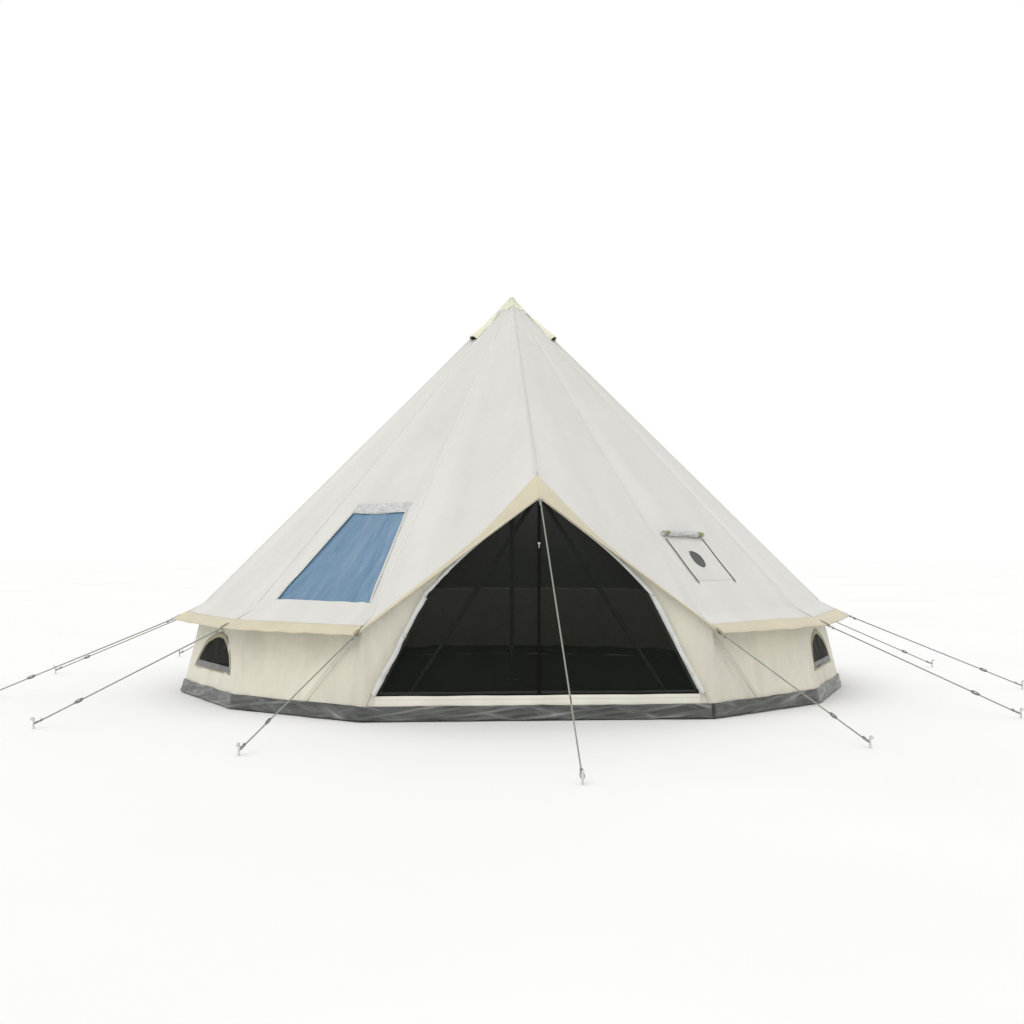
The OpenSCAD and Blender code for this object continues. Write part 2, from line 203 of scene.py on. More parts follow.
def add_tube(bm, path, radius, sides=10, caps=True):
    rings = tube(path, radius, sides)
    faces = add_grid(bm, rings, closed=True)
    if caps:
        bm.verts.ensure_lookup_table()
        total = len(bm.verts)
        count = rings.shape[0] * sides
        first = [bm.verts[total - count + i] for i in range(sides)]
        final = [bm.verts[total - sides + i] for i in range(sides)]
        bm.faces.new(first)
        bm.faces.new(final[::-1])
    return faces


def cut_hole(bm, faces, planes):
    """Cuts the convex hole bounded by planes, (point, inward direction), out of the faces."""
    for point, inward in planes:
        geometry = list({g for f in faces for g in (f, *f.edges, *f.verts)})
        result = bmesh.ops.bisect_plane(
            bm, geom=geometry, plane_co=point, plane_no=inward, dist=1e-6
        )
        found = {g for g in result["geom"] if isinstance(g, bmesh.types.BMFace)}
        faces = [
            f for f in found
            if (f.calc_center_median() - Vector(point)).dot(Vector(inward)) > 0
        ]
    bmesh.ops.delete(bm, geom=faces, context="FACES")


def piece(name, bm, material, nodes):
    """A piece of the tent: it rides on the one body and stands for CAD nodes."""
    obj = finish_mesh(name, bm, material)
    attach(obj, "root")
    if nodes:
        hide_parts(*nodes)
    return obj


def grid_piece(name, points, material, nodes):
    """A piece that is one sheet through a grid of points."""
    bm = bmesh.new()
    add_grid(bm, points, metres_uv(points))
    return piece(name, bm, material, nodes)


def merge_strips(name, strips, material, nodes=()):
    """One piece from several narrow strips; each strip's rows run along it."""
    bm = bmesh.new()
    for points in strips:
        add_grid(bm, points, strip_uv(points))
    return piece(name, bm, material, nodes)


def thicken(obj, thickness):
    obj.modifiers.new("thickness", "SOLIDIFY").thickness = thickness


# Materials


WAVE_LENGTH = 0.314  # of Blender's wave texture at scale 1, in metres


class Graph:
    """A material's nodes, made one call at a time."""

    def __init__(self, name):
        self.material = bpy.data.materials.new(name)
        self.material.use_nodes = True
        self.tree = self.material.node_tree
        self.shader = self.tree.nodes["Principled BSDF"]

    def add(self, kind, inputs=(), **settings):
        node = self.tree.nodes.new("ShaderNode" + kind)
        for key, value in settings.items():
            setattr(node, key, value)
        for key, value in dict(inputs).items():
            self.set(node.inputs[key], value)
        return node

    def set(self, socket, value):
        if isinstance(value, bpy.types.NodeSocket):
            self.tree.links.new(value, socket)
        else:
            socket.default_value = value

    def math(self, operation, a, b=0.0):
        node = self.add("Math", operation=operation)
        self.set(node.inputs[0], a)
        self.set(node.inputs[1], b)
        return node.outputs[0]

    def times(self, a, b):
        return self.math("MULTIPLY", a, b)

    def plus(self, a, b):
        return self.math("ADD", a, b)

    def most(self, a, b):
        return self.math("MAXIMUM", a, b)

    def coords(self, kind, scale=(1, 1, 1)):
        source = self.add("TexCoord").outputs[kind]
        return self.add("Mapping", {"Vector": source, "Scale": scale}).outputs[0]

    def slanted(self, degrees, across, along):
        """UVs turned and stretched, so that noise makes streaks at an angle."""
        inputs = {
            "Vector": self.add("TexCoord").outputs["UV"],
            "Rotation": (0, 0, math.radians(degrees)), "Scale": (1 / along, 1 / across, 1),
        }
        return self.add("Mapping", inputs, vector_type="TEXTURE").outputs[0]

    def noise(self, vector, scale, detail=3.0, rough=0.5):
        inputs = {"Vector": vector, "Scale": scale, "Detail": detail, "Roughness": rough}
        return self.add("TexNoise", inputs).outputs["Fac"]

    def wave(self, vector, pitch, direction, distortion=0.0):
        inputs = {"Vector": vector, "Scale": WAVE_LENGTH / pitch, "Distortion": distortion}
        return self.add("TexWave", inputs, bands_direction=direction).outputs["Fac"]

    def weave(self, pitch, distortion=0.0):
        """Threads in metres of UV that cross at pitch."""
        place = self.coords("UV")
        return self.most(
            self.wave(place, pitch, "X", distortion), self.wave(place, pitch, "Y", distortion)
        )

    def ramp(self, fac, stops):
        node = self.add("ValToRGB", {"Fac": fac})
        while len(node.color_ramp.elements) < len(stops):
            node.color_ramp.elements.new(0.5)
        for element, (place, colour) in zip(node.color_ramp.elements, stops):
            element.position = place
            element.color = (*colour, 1)
        return node.outputs["Color"]

    def tones(self, fac, colour, *stops):
        """A colour that runs through its own darker and lighter shades."""
        return self.ramp(fac, [(place, shade(colour, factor)) for place, factor in stops])

    def mix(self, fac, a, b, blend="MIX"):
        node = self.add("Mix", data_type="RGBA", blend_type=blend)
        self.set(node.inputs["Factor"], fac)
        for key, value in (("A", a), ("B", b)):
            socket = [s for s in node.inputs if s.name == key and s.type == "RGBA"][0]
            self.set(socket, value if isinstance(value, bpy.types.NodeSocket) else (*value, 1))
        return [s for s in node.outputs if s.type == "RGBA"][0]

    def bump(self, height, strength, distance, below=None):
        inputs = {"Height": height, "Strength": strength, "Distance": distance}
        if below is not None:
            inputs["Normal"] = below
        return self.add("Bump", inputs).outputs[0]

    def surface(self, **sockets):
        for key, value in sockets.items():
            self.set(self.shader.inputs[key.replace("_", " ")], value)
        return self.material


def shade(colour, factor):
    return tuple(min(1, c * factor) for c in colour)


def woven(
    name, colour, pitch, rough=0.85, blotch=0.06, bump=0.25, sheen=0.25, crumple=0.012,
    fold=0.0, streak=0.0,
):
    """Plain-woven cloth: threads crossing at pitch, soft blotches, faint creases and dust; fold paints
    shade into its folds, and streak paints light and shade in soft folds down the slope.
    """
    g = Graph(name)
    weave = g.weave(pitch, 0.4)
    slub = g.noise(g.coords("UV", (1, 14, 1)), 60, 2)
    cloud = g.noise(g.coords("Object"), 1.7, 5, 0.6)
    dust = g.noise(g.coords("Object", (1, 1, 3)), 9, 4, 0.65)
    base = g.tones(cloud, colour, (0.30, 1 - blotch), (0.70, 1 + blotch))
    base = g.mix(g.times(dust, 0.10), base, shade(colour, 0.72))
    thread = g.ramp(weave, ((0.0, (0.86, 0.86, 0.86)), (0.8, (1, 1, 1))))
    base = g.mix(0.8, base, thread, "MULTIPLY")
    crease = g.noise(g.coords("Object", (1, 1, 0.45)), 7, 6, 0.55)
    # fold paints shade: darker bands along the drape's folds and darker creases, on the same noise as
    # their bump.
    if fold:
        drape = g.noise(g.coords("Object", (1, 1, 0.10)), 5.5, 3, 0.5)
        painted_shading = g.ramp(drape, ((0.34, (1 - fold,) * 3), (0.50, (1, 1, 1)), (0.66, (1 - fold * 0.4,) * 3)))
        base = g.mix(1.0, base, painted_shading, "MULTIPLY")
        painted_crease_shade = g.ramp(crease, ((0.34, (1 - fold * 0.5,) * 3), (0.52, (1, 1, 1))))
        base = g.mix(1.0, base, painted_crease_shade, "MULTIPLY")
        crease = g.plus(crease, g.times(drape, 2.2))
    # streak paints light and shade: lighter and darker bands of soft folds down the slope, on the same
    # noise as their bump.
    if streak:
        fan = g.noise(g.coords("UV", (3.4, 0.22, 1)), 1.0, 2.5, 0.5)
        painted_shading = g.ramp(fan, ((0.35, (1 - streak,) * 3), (0.62, (1 + streak * 0.6,) * 3)))
        base = g.mix(1.0, base, painted_shading, "MULTIPLY")
        crease = g.plus(crease, g.times(fan, 1.5))
    soft = g.bump(crease, 0.5, crumple)
    fine = g.bump(g.plus(weave, g.times(slub, 0.6)), bump, 0.0006, soft)
    rough_map = g.plus(g.times(dust, 0.12), rough - 0.06)
    return g.surface(
        Base_Color=base, Roughness=rough_map, Normal=fine,
        Sheen_Weight=sheen, Sheen_Roughness=0.5, Specular_IOR_Level=0.25,
    )


def stitch_mask(g, offsets, half=0.0011, length=0.009, fill=0.66):
    """Marks dashed lines of stitches along U at the given V, in metres."""
    split = g.add("SeparateXYZ", {"Vector": g.coords("UV")})
    along, across = split.outputs[0], split.outputs[1]
    dash = g.math("LESS_THAN", g.math("FRACT", g.math("DIVIDE", along, length)), fill)
    lines = None
    for offset in offsets:
        line = g.math("LESS_THAN", g.math("ABSOLUTE", g.math("SUBTRACT", across, offset)), half)
        lines = line if lines is None else g.most(lines, line)
    return g.times(lines, dash), lines


def stitched(name, colour, thread, offsets, pitch=0.0016, rough=0.8, sheen=0.2):
    """A sewn band: woven cloth with rows of stitches along it, slightly puckered, with painted shade
    along the stitch lines.
    """
    g = Graph(name)
    weave = g.weave(pitch, 0.3)
    cloud = g.noise(g.coords("Object"), 3.1, 4, 0.6)
    base = g.tones(cloud, colour, (0.3, 0.93), (0.7, 1.06))
    base = g.mix(0.7, base, g.ramp(weave, ((0, (0.84, 0.84, 0.84)), (0.8, (1, 1, 1)))), "MULTIPLY")
    dashes, lines = stitch_mask(g, offsets)
    # The stitch lines are painted darker, as shade in their sunken grooves.
    base = g.mix(g.times(lines, 0.25), base, shade(colour, 0.6))
    base = g.mix(g.times(dashes, 0.85), base, thread)
    pucker = g.noise(g.coords("UV", (1, 0.25, 1)), 90, 2)
    height = g.math("SUBTRACT", g.times(pucker, 0.5), g.times(lines, 0.6))
    height = g.plus(height, g.times(dashes, 0.9))
    soft = g.bump(height, 0.5, 0.0018)
    fine = g.bump(weave, 0.25, 0.0006, soft)
    return g.surface(
        Base_Color=base, Roughness=rough, Normal=fine,
        Sheen_Weight=sheen, Sheen_Roughness=0.5, Specular_IOR_Level=0.25,
    )


def coated(name, colour, rough, streak, bump=0.4, coat=0.3):
    """PVC or coated cloth: creases, painted darker in their hollows and lighter on their crests as
    painted shade and highlight, with scuffs and uneven gloss.
    """
    g = Graph(name)
    fold = g.noise(g.coords("Object", streak), 9, 6, 0.6)
    scuff = g.noise(g.coords("Object"), 45, 5, 0.7)
    # Painted shade in the creases' hollows and painted highlight on their crests, on the same noise as
    # the bump.
    base = g.tones(fold, colour, (0.30, 0.72), (0.72, 1.25))
    base = g.mix(g.times(scuff, 0.18), base, shade(colour, 1.6))
    rough_map = g.plus(g.times(scuff, 0.22), rough - 0.1)
    grain = g.bump(g.noise(g.coords("Object"), 700, 2), 0.12, 0.0004)
    normal = g.bump(fold, bump, 0.02, grain)
    return g.surface(
        Base_Color=base, Roughness=rough_map, Normal=normal, Coat_Weight=coat, Coat_Roughness=0.2,
    )


def creased_pvc(name, deep, middle, glint):
    """Thin dark PVC, pulled into slanting folds, painted with shade in their hollows and highlights on
    their crests.
    """
    g = Graph(name)
    left = g.noise(g.slanted(8, 26, 1.7), 1.0, 5, 0.6)
    right = g.noise(g.slanted(-17, 18, 2.4), 1.0, 3, 0.55)
    broad = g.noise(g.coords("UV", (2.5, 9, 1)), 1.0, 3)
    fold = g.most(left, g.math("SUBTRACT", right, 0.06))
    painted_shading = g.plus(fold, g.times(broad, 0.30))
    # deep is painted shade in the folds' hollows; glint is painted highlight on their crests.
    base = g.ramp(painted_shading, ((0.56, deep), (0.70, middle), (0.84, glint)))
    scuff = g.noise(g.coords("Object"), 45, 5, 0.7)
    base = g.mix(g.times(scuff, 0.15), base, shade(glint, 0.7))
    normal = g.bump(fold, 1.0, 0.03, g.bump(scuff, 0.1, 0.001))
    rough_map = g.plus(g.times(scuff, 0.22), 0.28)
    return g.surface(
        Base_Color=base, Roughness=rough_map, Normal=normal, Coat_Weight=0.2, Coat_Roughness=0.25,
    )


def film(name, deep, pale, glint):
    """Tinted PVC film, rippled along its length, with painted reflection: lighter and darker streaks
    along the ripples, and rougher scuffed lines painted with glints.
    """
    g = Graph(name)
    ripple = g.noise(g.coords("UV", (7, 1.1, 1)), 1.6, 5, 0.6)
    crossing = g.noise(g.coords("UV", (7, 2.5, 1)), 2.2, 4, 0.6)
    # Painted reflection: the colour runs from deep to pale along the ripples.
    base = g.ramp(ripple, ((0.34, deep), (0.66, pale)))
    base = g.mix(g.times(crossing, 0.35), base, shade(deep, 0.85))
    lines = g.noise(g.coords("UV", (42, 2.2, 1)), 1.4, 4, 0.6)
    patches = g.noise(g.coords("UV", (2.6, 1.1, 1)), 2.0, 2)
    mask = g.ramp(lines, ((0.63, (0, 0, 0)), (0.69, (1, 1, 1))))
    where = g.ramp(patches, ((0.45, (0, 0, 0)), (0.62, (1, 1, 1))))
    mask = g.mix(1.0, mask, where, "MULTIPLY")
    # Painted glints along the rougher scuffed lines.
    base = g.mix(g.times(mask, 0.7), base, glint)
    height = g.plus(ripple, g.times(lines, 0.4))
    normal = g.bump(height, 0.6, 0.012)
    rough_map = g.plus(g.times(lines, 0.25), 0.14)
    return g.surface(
        Base_Color=base, Roughness=rough_map, Normal=normal, Alpha=0.96,
        Coat_Weight=0.5, Coat_Roughness=0.12, IOR=1.5,
    )


def netting(name, colour, pitch=0.0024, opacity=0.9):
    """Fine insect mesh: dark threads with a little light let through, and folds painted lighter as
    highlights.
    """
    g = Graph(name)
    net = g.weave(pitch)
    cloud = g.noise(g.coords("Object", (1, 1, 0.4)), 2.2, 4, 0.6)
    fold = g.noise(g.coords("Object", (3.5, 1, 0.35)), 3, 3, 0.5)
    base = g.tones(cloud, colour, (0.3, 0.75), (0.7, 1.3))
    # Painted highlight: the folds are painted lighter.
    base = g.mix(g.times(fold, 0.5), base, shade(colour, 1.7))
    holes = g.times(g.math("SUBTRACT", 1.0, net), 0.25)
    alpha = g.math("SUBTRACT", opacity, g.times(holes, 0.12))
    normal = g.bump(net, 0.3, 0.0005, g.bump(fold, 0.3, 0.02))
    return g.surface(
        Base_Color=base, Alpha=alpha, Roughness=0.8, Normal=normal,
        Specular_IOR_Level=0.12, Sheen_Weight=0.12, Sheen_Roughness=0.3,
    )


def braided(name, colour, pitch=0.006):
    """Braided cord: strands crossing round it."""
    g = Graph(name)
    place = g.coords("Object")
    crossing = g.coords("Object", (-1, -1, 1))
    strands = g.most(g.wave(place, pitch, "DIAGONAL"), g.wave(crossing, pitch, "DIAGONAL"))
    fleck = g.noise(place, 300, 2)
    base = g.tones(strands, colour, (0.1, 0.55), (0.7, 1.15))
    base = g.mix(g.times(fleck, 0.3), base, shade(colour, 1.5))
    return g.surface(
        Base_Color=base, Roughness=0.75, Normal=g.bump(strands, 0.6, 0.001), Sheen_Weight=0.3
    )


def steel(name, colour, rough=0.35):
    """Galvanised tube: drawn lines, spangle and a few scuffs."""
    g = Graph(name)
    drawn = g.noise(g.coords("Object", (60, 60, 2)), 8, 3)
    spangle = g.add("TexVoronoi", {"Vector": g.coords("Object"), "Scale": 90}).outputs["Distance"]
    base = g.tones(spangle, colour, (0.1, 0.85), (0.7, 1.1))
    rough_map = g.plus(g.times(drawn, 0.3), rough - 0.12)
    return g.surface(
        Base_Color=base, Metallic=1.0, Roughness=rough_map, Normal=g.bump(drawn, 0.15, 0.0005)
    )


def moulded(name, colour, rough=0.5, gloss=0.5):
    g = Graph(name)
    grain = g.noise(g.coords("Object"), 900, 2)
    cloud = g.noise(g.coords("Object"), 40, 3)
    base = g.tones(cloud, colour, (0.3, 0.85), (0.7, 1.2))
    return g.surface(
        Base_Color=base, Roughness=rough, Normal=g.bump(grain, 0.2, 0.0003), Specular_IOR_Level=gloss,
    )


CLOTH_PITCH = 0.0014
WEB_PITCH = 0.003
CANVAS = (0.660, 0.652, 0.612)
WALL_CANVAS = (0.730, 0.705, 0.595)
SAND = (0.600, 0.545, 0.395)
THREAD = (0.78, 0.75, 0.64)

# The roof canvas's streak paints light and shade in soft folds down the slope.
roof_canvas = woven("roof_canvas", CANVAS, CLOTH_PITCH, blotch=0.035, crumple=0.014, streak=0.045)
# The wall canvas's fold paints shade into its folds and creases.
wall_canvas = woven("wall_canvas", WALL_CANVAS, CLOTH_PITCH, blotch=0.05, crumple=0.036, fold=0.075)
# The front cloth is the wall canvas painted darker, as the shade under the hood, with more painted shade
# in its folds.
shaded_front_canvas = woven(
    "shaded_front_canvas", shade(WALL_CANVAS, 0.92), CLOTH_PITCH, blotch=0.05, crumple=0.036, fold=0.09
)
# The roof seams are painted lighter than the roof canvas: painted highlight along the raised seams.
roof_seam = stitched("roof_seam", shade(CANVAS, 1.07), shade(CANVAS, 0.92), (0.004, 0.018))
double_seam = stitched(
    "double_seam", shade(WALL_CANVAS, 0.90), (0.20, 0.19, 0.14), (0.006, 0.035), sheen=0.1
)
sand_band = stitched("sand_band", SAND, shade(THREAD, 0.75), (0.008, 0.092))
insect_mesh = netting("insect_mesh", (0.0040, 0.0054, 0.0036), opacity=0.885)
# The rim's first colour is painted shade in its folds, and its last colour is painted highlight on their
# crests.
rim_pvc = creased_pvc("rim_pvc", (0.026, 0.028, 0.026), (0.095, 0.100, 0.094), (0.27, 0.275, 0.26))
silver_cloth = coated("silver_cloth", (0.50, 0.505, 0.50), 0.45, (3, 3, 3), bump=0.5, coat=0.1)
window_flap = coated("window_flap", (0.135, 0.14, 0.132), 0.5, (3, 3, 3), bump=0.5, coat=0.1)
dark_cover = coated("dark_cover", (0.07, 0.07, 0.07), 0.55, (2, 2, 2), coat=0.0)
zip_black = moulded("zip_black", (0.005, 0.005, 0.005), 0.6, gloss=0.12)
hem_tape = woven("hem_tape", (0.024, 0.026, 0.022), WEB_PITCH, bump=0.5, sheen=0.1)
steel_tube = steel("steel_tube", (0.62, 0.63, 0.64))
guy_cord = braided("guy_cord", (0.20, 0.225, 0.175))


# Camera, floor and light, which the looks of the rest are judged by

CAMERA_AT = (-0.761, -10.365, 1.118)
CAMERA_TILT = 91.2
CAMERA_TURN = -4.2
CAMERA_LENS = 46.14
INSIDE_LIGHT = 24.0
INSIDE_AT = (0, 0.5, 1.5)
SUN_STRENGTH = 0.55
SUN_SPREAD = 40
SUN_FROM = (-7, -8, 13)
SUN_AIM = (0, 0, 1)
FLOOR_REACH = 60


def make_camera():
    data = bpy.data.cameras.new("camera")
    data.lens, data.sensor_width = CAMERA_LENS, 36
    data.clip_end = 200
    camera = bpy.data.objects.new("camera", data)
    camera.location = CAMERA_AT
    camera.rotation_euler = [math.radians(a) for a in (CAMERA_TILT, 0, CAMERA_TURN)]
    bpy.context.collection.objects.link(camera)
    bpy.context.scene.camera = camera


def make_floor():
    """The plain pale floor of the studio."""
    g = Graph("studio_floor")
    cloud = g.noise(g.coords("Object"), 0.4, 4)
    base = g.ramp(cloud, ((0.3, (0.86, 0.86, 0.855)), (0.7, (0.89, 0.89, 0.885))))
    grain = g.bump(g.noise(g.coords("Object"), 30, 3), 0.05, 0.002)
    material = g.surface(Base_Color=base, Roughness=0.8, Normal=grain)
    bm = bmesh.new()
    bmesh.ops.create_circle(bm, cap_ends=True, segments=96, radius=FLOOR_REACH)
    floor = finish_mesh("studio_floor", bm, material, smooth=False)


def make_sun():
    data = bpy.data.lights.new("key_sun", "SUN")
    data.energy = SUN_STRENGTH
    data.angle = math.radians(SUN_SPREAD)
    light = bpy.data.objects.new("key_sun", data)
    light.location = SUN_FROM
    direction = Vector(SUN_AIM) - Vector(SUN_FROM)
    light.rotation_euler = direction.to_track_quat("-Z", "Y").to_euler()
    bpy.context.collection.objects.link(light)


def make_inside_light():
    """The daylight that canvas lets through into a tent, as one soft light that isn't seen."""
    data = bpy.data.lights.new("inside_light", "POINT")
    data.energy = INSIDE_LIGHT
    data.shadow_soft_size = 0.5
    lamp = bpy.data.objects.new("inside_light", data)
    lamp.location = INSIDE_AT
    lamp.visible_camera = False
    lamp.visible_glossy = False
    bpy.context.collection.objects.link(lamp)


def make_world():
    world = bpy.data.worlds.new("studio")
    world.use_nodes = True
    back = world.node_tree.nodes["Background"]
    back.inputs["Color"].default_value = (1.0, 1.0, 1.0, 1)
    back.inputs["Strength"].default_value = 1.0
    bpy.context.scene.world = world


make_camera()
make_floor()
make_inside_light()
make_world()
make_sun()
bpy.context.scene.view_settings.view_transform = "Standard"


# The tent's surfaces, as functions that every cloth piece is laid on

APEX = np.array([0, 0, TOP_Z - ROOF_T])
EAVE_MID = EAVE_R * math.cos(STEP / 2)
FOLD_CORNER = corner(EAVE_R, 1, WALL_H)
BRIM_CORNER = corner(BRIM_R, 1, BRIM_Z)
TIP = np.array([0, -HOOD_Y, HOOD_TIP_Z - 0.007])
BRIM_SPLIT = (SEAM_R - EAVE_R) / (BRIM_R - EAVE_R)
LAY = 0.007


def bay_lines(k, t):
    """The fold and the brim's edge at fraction t across bay k; bays -1 and 0 are the hood."""
    t = np.asarray(t, float)[..., None]
    if k in (-1, 0):
        along = t if k == 0 else 1 - t
        side = np.array([1 if k == 0 else -1, 1, 1])
        return lerp(TIP, FOLD_CORNER, along) * side, lerp(TIP, BRIM_CORNER, along) * side
    fold = lerp(corner(EAVE_R, k, WALL_H), corner(EAVE_R, k + 1, WALL_H), t)
    edge = lerp(corner(BRIM_R, k, BRIM_Z), corner(BRIM_R, k + 1, BRIM_Z), t)
    return fold, edge


def roof_relief(k, t, s, place):
    """How far the canvas stands off its flat bay: sag, pulls, fan creases at the peak."""
    down = np.clip(s, 0, 1)
    across = np.sin(np.pi * t)
    sag = -0.016 * across * np.sin(np.pi * np.clip(s, 0, 1.04) ** 0.8).clip(0)
    if k in (-1, 0):
        sag = sag * 1.3
    angle = k + t
    wide = 0.0045 * noise(place[..., 0] * 1.3 + 9, place[..., 1] * 1.3 + place[..., 2], 1) * across
    fan = 0.0035 * noise(angle * 13, down * 2.5, 2) * np.exp(-((down - 0.12) / 0.26) ** 2)
    fan = fan + 0.0018 * noise(angle * 31, down * 4, 3) * np.exp(-((down - 0.08) / 0.18) ** 2)
    long_folds = 0.0020 * noise(angle * 7.3, down * 1.6 + k, 4) * (0.35 + 0.65 * across)
    corner_near = np.minimum(t, 1 - t)
    reach = np.exp(-((1 - down) / 0.16) ** 2) * np.exp(-(corner_near / 0.28) ** 2)
    bearing = np.arctan2(corner_near + 0.01, np.abs(1.02 - down) * 2.2 + 0.01)
    pulls = 0.0032 * reach * np.sin(bearing * 17 + k * 2.1) * np.clip(corner_near * 14, 0, 1)
    rows = 0.0016 * noise(angle * 2.1, down * 26, 5) * np.exp(-((1 - down) / 0.12) ** 2)
    fine = 0.0009 * noise(place[..., 0] * 11 + k, place[..., 1] * 11 + place[..., 2] * 9, 6)
    edge = np.clip(np.minimum(t, 1 - t) * 12, 0, 1)
    if k in (-1, 0):
        edge = edge * (1 - 0.75 * np.exp(-((1 - down) / 0.10) ** 2))
        pulls = pulls * 0.2
    return sag + (wide + long_folds + rows + fine) * edge + fan + pulls


def roof_points(k, t, s, lift=0.0):
    """Points on bay k: t across it, s from the peak (0) past the fold (1) to the brim (2)."""
    t, s = np.broadcast_arrays(np.asarray(t, float), np.asarray(s, float))
    fold, edge = bay_lines(k, t)
    down = np.clip(s, 0, 1)[..., None]
    out = np.clip(s - 1, 0, 1)[..., None]
    flat = lerp(APEX, fold, down) + (edge - fold) * out
    a, b = bay_lines(k, 0.0)[0], bay_lines(k, 1.0)[0]
    upper = unit(np.cross(a - APEX, b - APEX))
    c = bay_lines(k, 0.5)
    lower = unit(np.cross(c[1] - c[0], b - a))
    upper = upper if upper[2] > 0 else -upper
    lower = lower if lower[2] > 0 else -lower
    turn = np.clip((s - 0.97) / 0.12, 0, 1)[..., None]
    normal = unit(lerp(upper, lower, turn))
    relief = roof_relief(k, t, s, flat) * np.clip(1.15 - 1.5 * out[..., 0], 0, 1)
    return flat + normal * (relief + lift)[..., None] + np.array([0, 0, LAY])


def on_bay(k, u, r, lift=0.0):
    """A point of bay k at u across and r out from the pole, both in plan."""
    u, r = np.broadcast_arrays(np.asarray(u, float), np.asarray(r, float))
    half = np.maximum(r, 1e-3) * math.tan(STEP / 2)
    return roof_points(k, 0.5 + u / (2 * half), r / EAVE_MID, lift)


def spread(count):
    """Fractions from 0 to 1, a little closer together near both ends."""
    u = np.linspace(0, 1, count + 1)
    return 0.6 * u + 0.4 * (0.5 - 0.5 * np.cos(np.pi * u))


def wall_frame(k, t):
    """Foot and top of the wall at fraction t across side k; side 1 starts at its seam."""
    t = np.asarray(t, float)[..., None]
    share = t
    if k in (1, -2):
        share = SEAM_SHARE + (1 - SEAM_SHARE) * t if k == 1 else t * (1 - SEAM_SHARE)
    foot = lerp(corner(WALL_FOOT_R, k, RIM_H), corner(WALL_FOOT_R, k + 1, RIM_H), share)
    top = lerp(corner(EAVE_R, k, WALL_H), corner(EAVE_R, k + 1, WALL_H), t)
    return foot, top


def wall_relief(k, t, h):
    """How far the wall stands off its flat side: drape, creases, and pulls at foot and eave."""
    angle = k + t
    middle = np.sin(np.pi * np.clip(h, 0, 1))
    folds = 0.0100 * noise(angle * 5.1 + 3, h * 1.1, 1) * (0.35 + 0.65 * middle)
    small = 0.0046 * noise(angle * 14, h * 2.0 + angle, 2)
    pull = 0.0036 * noise(angle * 9 + h * 5, h * 4, 5)
    small = small + 0.0040 * (ridged(angle * 8 + h * 2.2, h * 0.9, 7) - 0.7)
    foot = 0.0030 * noise(angle * 24, h * 3, 3) * np.exp(-(h / 0.22) ** 2)
    top = 0.0026 * noise(angle * 20, h * 3, 4) * np.exp(-((1 - h) / 0.2) ** 2)
    if k == 1:
        off = (t - lerp(0.42, 0.80, h)) / 0.022
        small = small + 0.0065 * np.exp(-off * off) * np.clip((0.93 - h) * 6, 0, 1)
    corner_hold = np.clip(np.minimum(t, 1 - t) * 9, 0.15, 1)
    return (-0.004 * middle + folds + small + pull + foot + top) * corner_hold - 0.003


def wall_points(k, t, h, lift=0.0):
    """Points on wall k: t across it, h from the rim (0) up to the eave (1)."""
    t, h = np.broadcast_arrays(np.asarray(t, float), np.asarray(h, float))
    foot, top = wall_frame(k, t)
    flat = lerp(foot, top, h[..., None])
    middle = (k + 0.5) * STEP
    out = np.array([math.sin(middle), -math.cos(middle), 0.18])
    return flat + unit(out) * (wall_relief(k, t, h) + lift)[..., None]


def on_wall(k, u, z, lift=0.0):
    """A point of wall k at u across from its middle and height z."""
    u, z = np.broadcast_arrays(np.asarray(u, float), np.asarray(z, float))
    h = (z - RIM_H) / (WALL_H - RIM_H)
    r = lerp(WALL_FOOT_R, EAVE_R, h)
    share = 0.5 + u / (2 * r * math.sin(STEP / 2))
    if k == 1:
        start = SEAM_SHARE * (1 - h)
        share = (share - start) / (1 - start)
    if k == -2:
        share = share / (1 - SEAM_SHARE * (1 - h))
    return wall_points(k, share, h, lift)


# Canvas: the roof, the walls and the front

ROOF_ROWS = 96
BAND_X = (0, 0.138, 0.328, 0.439, 0.612, 0.80, 1.10)
BAND_WIDTH = (0.150, 0.132, 0.088, 0.070, 0.054, 0.042, 0.028)
BRIM_ROWS = 12
BAY_COLUMNS = 26
WALL_ROWS = 26


SKY_BAY = -2


def bay_plan(node, k):
    """A node's mesh points in plan coordinates of bay k: across, and out from the pole."""
    mesh = bpy.data.objects[node].data
    points = np.empty(len(mesh.vertices) * 3)
    mesh.vertices.foreach_get("co", points)
    points = points.reshape(-1, 3)
    a = (k + 0.5) * STEP
    across = np.array([math.cos(a), math.sin(a), 0])
    out = np.array([math.sin(a), -math.cos(a), 0])
    return points @ across, points @ out


def side_nodes(kind):
    return [f"{kind}_{side}_{part}" for side in ("left", "right") for part in ("front", "side", "back")]


